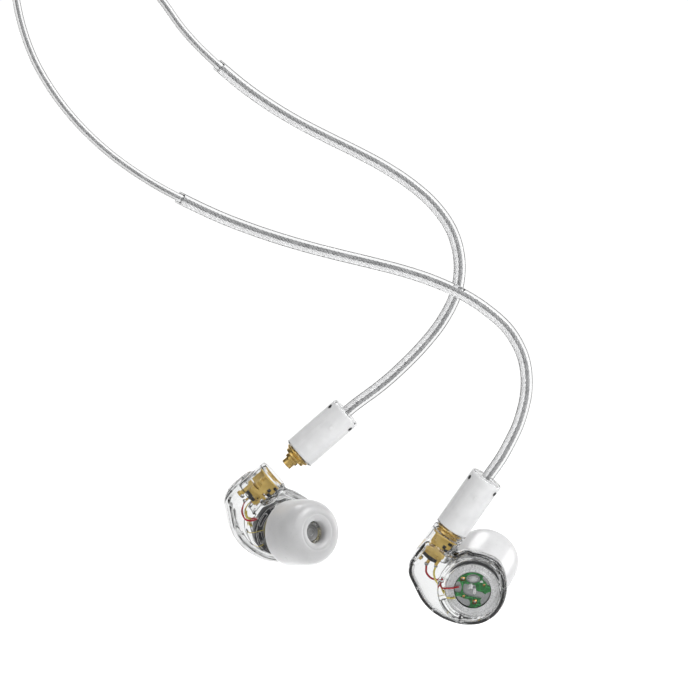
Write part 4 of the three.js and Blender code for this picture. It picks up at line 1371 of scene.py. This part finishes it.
def common_cable():
    """An arch from the split, a loose coil and a rise to the plug, whose place it returns."""
    coil_start, coil_sweep, coil_step = 180, 850, 17  # degrees
    coil_radius, coil_z, coil_pitch = 27, 112, 2.5
    # x from the split's axis, z
    arch = [
        (0, 141), (0, 146.5), (1.2, 152), (6.5, 160), (16, 163.5), (25.5, 159.5),
        (32, 149.5), (35.3, 136),
    ]
    points = [(COMMON_X + x, 0, z) for x, z in arch] + [(-27.6, 0, 123)]
    for degrees in range(coil_start, coil_start + coil_sweep + 1, coil_step):
        angle, turns = math.radians(degrees), (degrees - coil_start) / 360
        radius = coil_radius + 0.8 * math.sin(turns * 4.1)
        points.append((
            radius * math.cos(angle) + 0.5 * math.sin(turns * 2.7),
            coil_pitch * turns,
            coil_z + radius * math.sin(angle) + 0.6 * math.sin(turns * 3.3),
        ))
    y = coil_pitch * (coil_sweep / 360)
    points += [
        (29.5, y + 0.3, 97.5), (39, y, 106.5), (44.6, y - 0.4, 116.5), (47, y - 0.6, 127),
        (47, y - 0.6, 134),
    ]
    path = Path(np.array(points) + SHIFT, 0.6)
    jacket = rod_profile(path.length, COMMON_RADIUS, step=1.0, rounding=0.1, wobble=0.003)
    jacket = revolve(path, jacket, 28)
    piece("common_jacket", jacket, "clear_jacket", "harness", "main_jacket")
    strands = twisted(
        path, 0.2, path.length - 0.2, radius=0.19, wire_radius=0.2, pitch=4.4, count=4,
        sides=6, step=0.5,
    )
    piece("common_strands", strands, "conductor", "harness", "main_wires")
    return np.array([47, y - 0.6, 128.0]) + SHIFT


def headphone_plug(origin):
    """A ribbed grip standing upright, its contacts above it."""
    top = GRIP_LENGTH
    put = maker("", Frame((1, 0, 0), (0, 1, 0), (0, 0, 1), origin), "harness", angle=40)
    grip = [(1.4, 0), (2.05, 0)]
    for i in range(5):
        z = 0.9 + i * 1.25
        radius = 2.1 + 0.08 * i
        grip += [
            (radius, z), (radius + 0.02, z + 0.05), (radius - 0.22, z + 0.2),
            (radius - 0.22, z + 0.5), (radius + 0.06, z + 0.65),
        ]
    grip += [
        (2.6, 7.2), (3.6, 8.1), (4.0, 9.2), (4.0, top - 1), (3.6, top), (2.1, top), (2.1, 12),
        (1.4, 11),
    ]
    put("plug_grip", turned(grip, 0.3, 80), "clear_housing", "plug_housing")
    put("plug_lining", ring(2.2, 3.2, 13.0, top - 1.2, 0.2, 72), "white_core")
    sleeve = [
        (1.35, 14), (1.95, 14), (1.95, top + 0.1), (1.75, top + 0.2), (1.75, top + 8.0),
        (1.35, top + 8.0),
    ]
    put("plug_sleeve", turned(sleeve, 0.06, 64), "gold_polished", "plug_sleeve_contact")
    bands = [
        (0.72, 15), (1.25, 15), (1.25, top + 8.1), (1.72, top + 8.1), (1.72, top + 8.6),
        (0.95, top + 8.6), (0.95, top + 10.6), (1.7, top + 10.6), (1.7, top + 11.0),
        (0.72, top + 11.0),
    ]
    bands = turned(bands, 0.04, 64, steps=2)
    put("plug_bands", bands, "black_insulator", "plug_contact_insulator")
    contact = ring(1.05, 1.75, top + 8.7, top + 10.5, 0.06, 64)
    put("plug_ring", contact, "gold_polished", "plug_ring_contact")
    # the tip contact keeps its own mesh and is only regilded
    materials = frame["nodes"]["plug_tip_contact"].data.materials
    materials.clear()
    materials.append(MATERIALS["gold_polished"])


for side in SIDES:
    earpiece(side)
    connector(side)
    lead(side)
slider()
split()
headphone_plug(common_cable())


# ------------------------------------------------------------------ stage (metres)
def floor():
    drop, half = 0.046, 6.0
    z = cad_box[0][2] - drop
    data = bpy.data.meshes.new("floor")
    corners = [(-half, -half, z), (half, -half, z), (half, half, z), (-half, half, z)]
    data.from_pydata(corners, [], [(0, 1, 2, 3)])
    made = bpy.data.objects.new("floor", data)
    bpy.context.scene.collection.objects.link(made)
    nodes = material("floor_paint")
    # a little of its own light keeps the far floor as white as the sky behind it
    nodes.surface(nodes.principled(
        Base_Color=nodes.two_tone(nodes.noise(14), (0.93, 0.93, 0.93), (0.96, 0.96, 0.96)),
        Roughness=nodes.remap(nodes.noise(400), 0.7, 0.85),
        Specular_IOR_Level=0.1,
        Emission_Color=(1, 1, 1, 1),
        Emission_Strength=0.35,
    ))
    data.materials.append(MATERIALS["floor_paint"])
    # clear pieces see the studio beyond it, not the floor
    made.visible_transmission = False
    made.visible_glossy = False


def world():
    """White to the camera, a studio to clear and shiny pieces, a soft slope to matt ones."""
    studio = bpy.data.worlds.new("studio")
    bpy.context.scene.world = studio
    nodes = Nodes(studio, "ShaderNodeOutputWorld")
    background = nodes.add("ShaderNodeBackground")
    nodes.surface(background.outputs[0])
    # the ray's direction as the camera has it: x right, y up, z ahead
    coord = nodes.add("ShaderNodeTexCoord")
    direction = nodes.add("ShaderNodeVectorMath")
    direction.operation = "NORMALIZE"
    nodes.set(direction, 0, coord.outputs["Camera"])
    separate = nodes.add("ShaderNodeSeparateXYZ")
    nodes.set(separate, 0, direction.outputs[0])
    axes = tuple(separate.outputs)
    z = axes[2]
    calc, step = nodes.math, nodes.smooth_step

    def weigh(*weights):
        """x, y and z by their weights, added up."""
        terms = [calc("MULTIPLY", axis, weight) for axis, weight in zip(axes, weights)]
        total = terms.pop()
        while terms:
            total = calc("ADD", terms.pop(), total)
        return total

    # bright ahead but greyer towards upper right, dark at the sides, dim on the camera's side
    lean = step(weigh(0.6, 0.8), 0.06, 0.42)
    shade = calc("SUBTRACT", 1.0, calc("MULTIPLY", lean, 0.42))
    ahead = calc("MULTIPLY", step(z, 0.72, 0.84), shade)
    camera_side = calc("MULTIPLY", step(calc("MULTIPLY", z, -1.0), 0.35, 0.7), 0.36)
    # two soft boxes on the camera's side, a strong one at upper right and a weak one at left
    strong_box = calc("MULTIPLY", step(weigh(0.55, 0.62, -0.56), 0.84, 0.89), 2.2)
    weak_box = calc("MULTIPLY", step(weigh(-0.80, 0.25, -0.55), 0.92, 0.95), 0.9)
    boxes = calc("ADD", 0.008, calc("ADD", strong_box, weak_box))
    glossy = calc("ADD", calc("MAXIMUM", ahead, camera_side), boxes)
    # matt surfaces: brightest from the right and above
    soft = calc("ADD", 0.468, weigh(0.28, 0.30, 0.10))
    rays = nodes.add("ShaderNodeLightPath").outputs
    lit = nodes.mix("FLOAT", rays["Is Diffuse Ray"], glossy, soft)
    strength = nodes.mix("FLOAT", rays["Is Camera Ray"], lit, 1.05)
    nodes.set(background, "Strength", strength)
    nodes.set(background, "Color", (1, 1, 1, 1))


CENTRE = Vector((0.008250, 0.0, 0.054023))
CAMERA_PLACE = (0.008250145, -0.0027 - 0.7350, 0.054023)
# name, place, diameter, watts
LIGHTS = [
    ("key", (0.75, -0.55, 0.85), 0.5, 4.1),
    ("side", (0.95, 0.25, 0.15), 0.6, 3.2),
    ("top", (-0.1, 0.3, 1.0), 0.6, 5.0),
    ("fill", (-0.7, -0.8, 0.1), 0.6, 0.15),
]


def light(name, place, size, power):
    """A disc aimed at the centre, hidden from the camera and from clear pieces."""
    data = bpy.data.lights.new(name, "AREA")
    data.shape = "DISK"
    data.size = size
    data.energy = power
    made = bpy.data.objects.new(name, data)
    bpy.context.scene.collection.objects.link(made)
    made.location = place
    made.rotation_euler = (CENTRE - Vector(place)).to_track_quat("-Z", "Y").to_euler()
    made.visible_camera = False
    made.visible_transmission = False


def camera():
    data = bpy.data.cameras.new("camera")
    data.sensor_width = 36
    data.lens = 200
    data.clip_start, data.clip_end = 0.05, 50
    made = bpy.data.objects.new("camera", data)
    bpy.context.scene.collection.objects.link(made)
    made.location = CAMERA_PLACE
    made.rotation_euler = (math.pi / 2, 0, 0)
    bpy.context.scene.camera = made


def render_settings():
    scene = bpy.context.scene
    scene.view_settings.view_transform = "Standard"
    scene.view_settings.look = "None"
    cycles = scene.cycles
    cycles.max_bounces = 20
    cycles.transmission_bounces = 18
    cycles.glossy_bounces = 6
    cycles.diffuse_bounces = 4
    cycles.transparent_max_bounces = 24
    cycles.caustics_reflective = False
    cycles.use_denoising = True
    cycles.seed = 3


floor()
world()
for row in LIGHTS:
    light(*row)
camera()
render_settings()
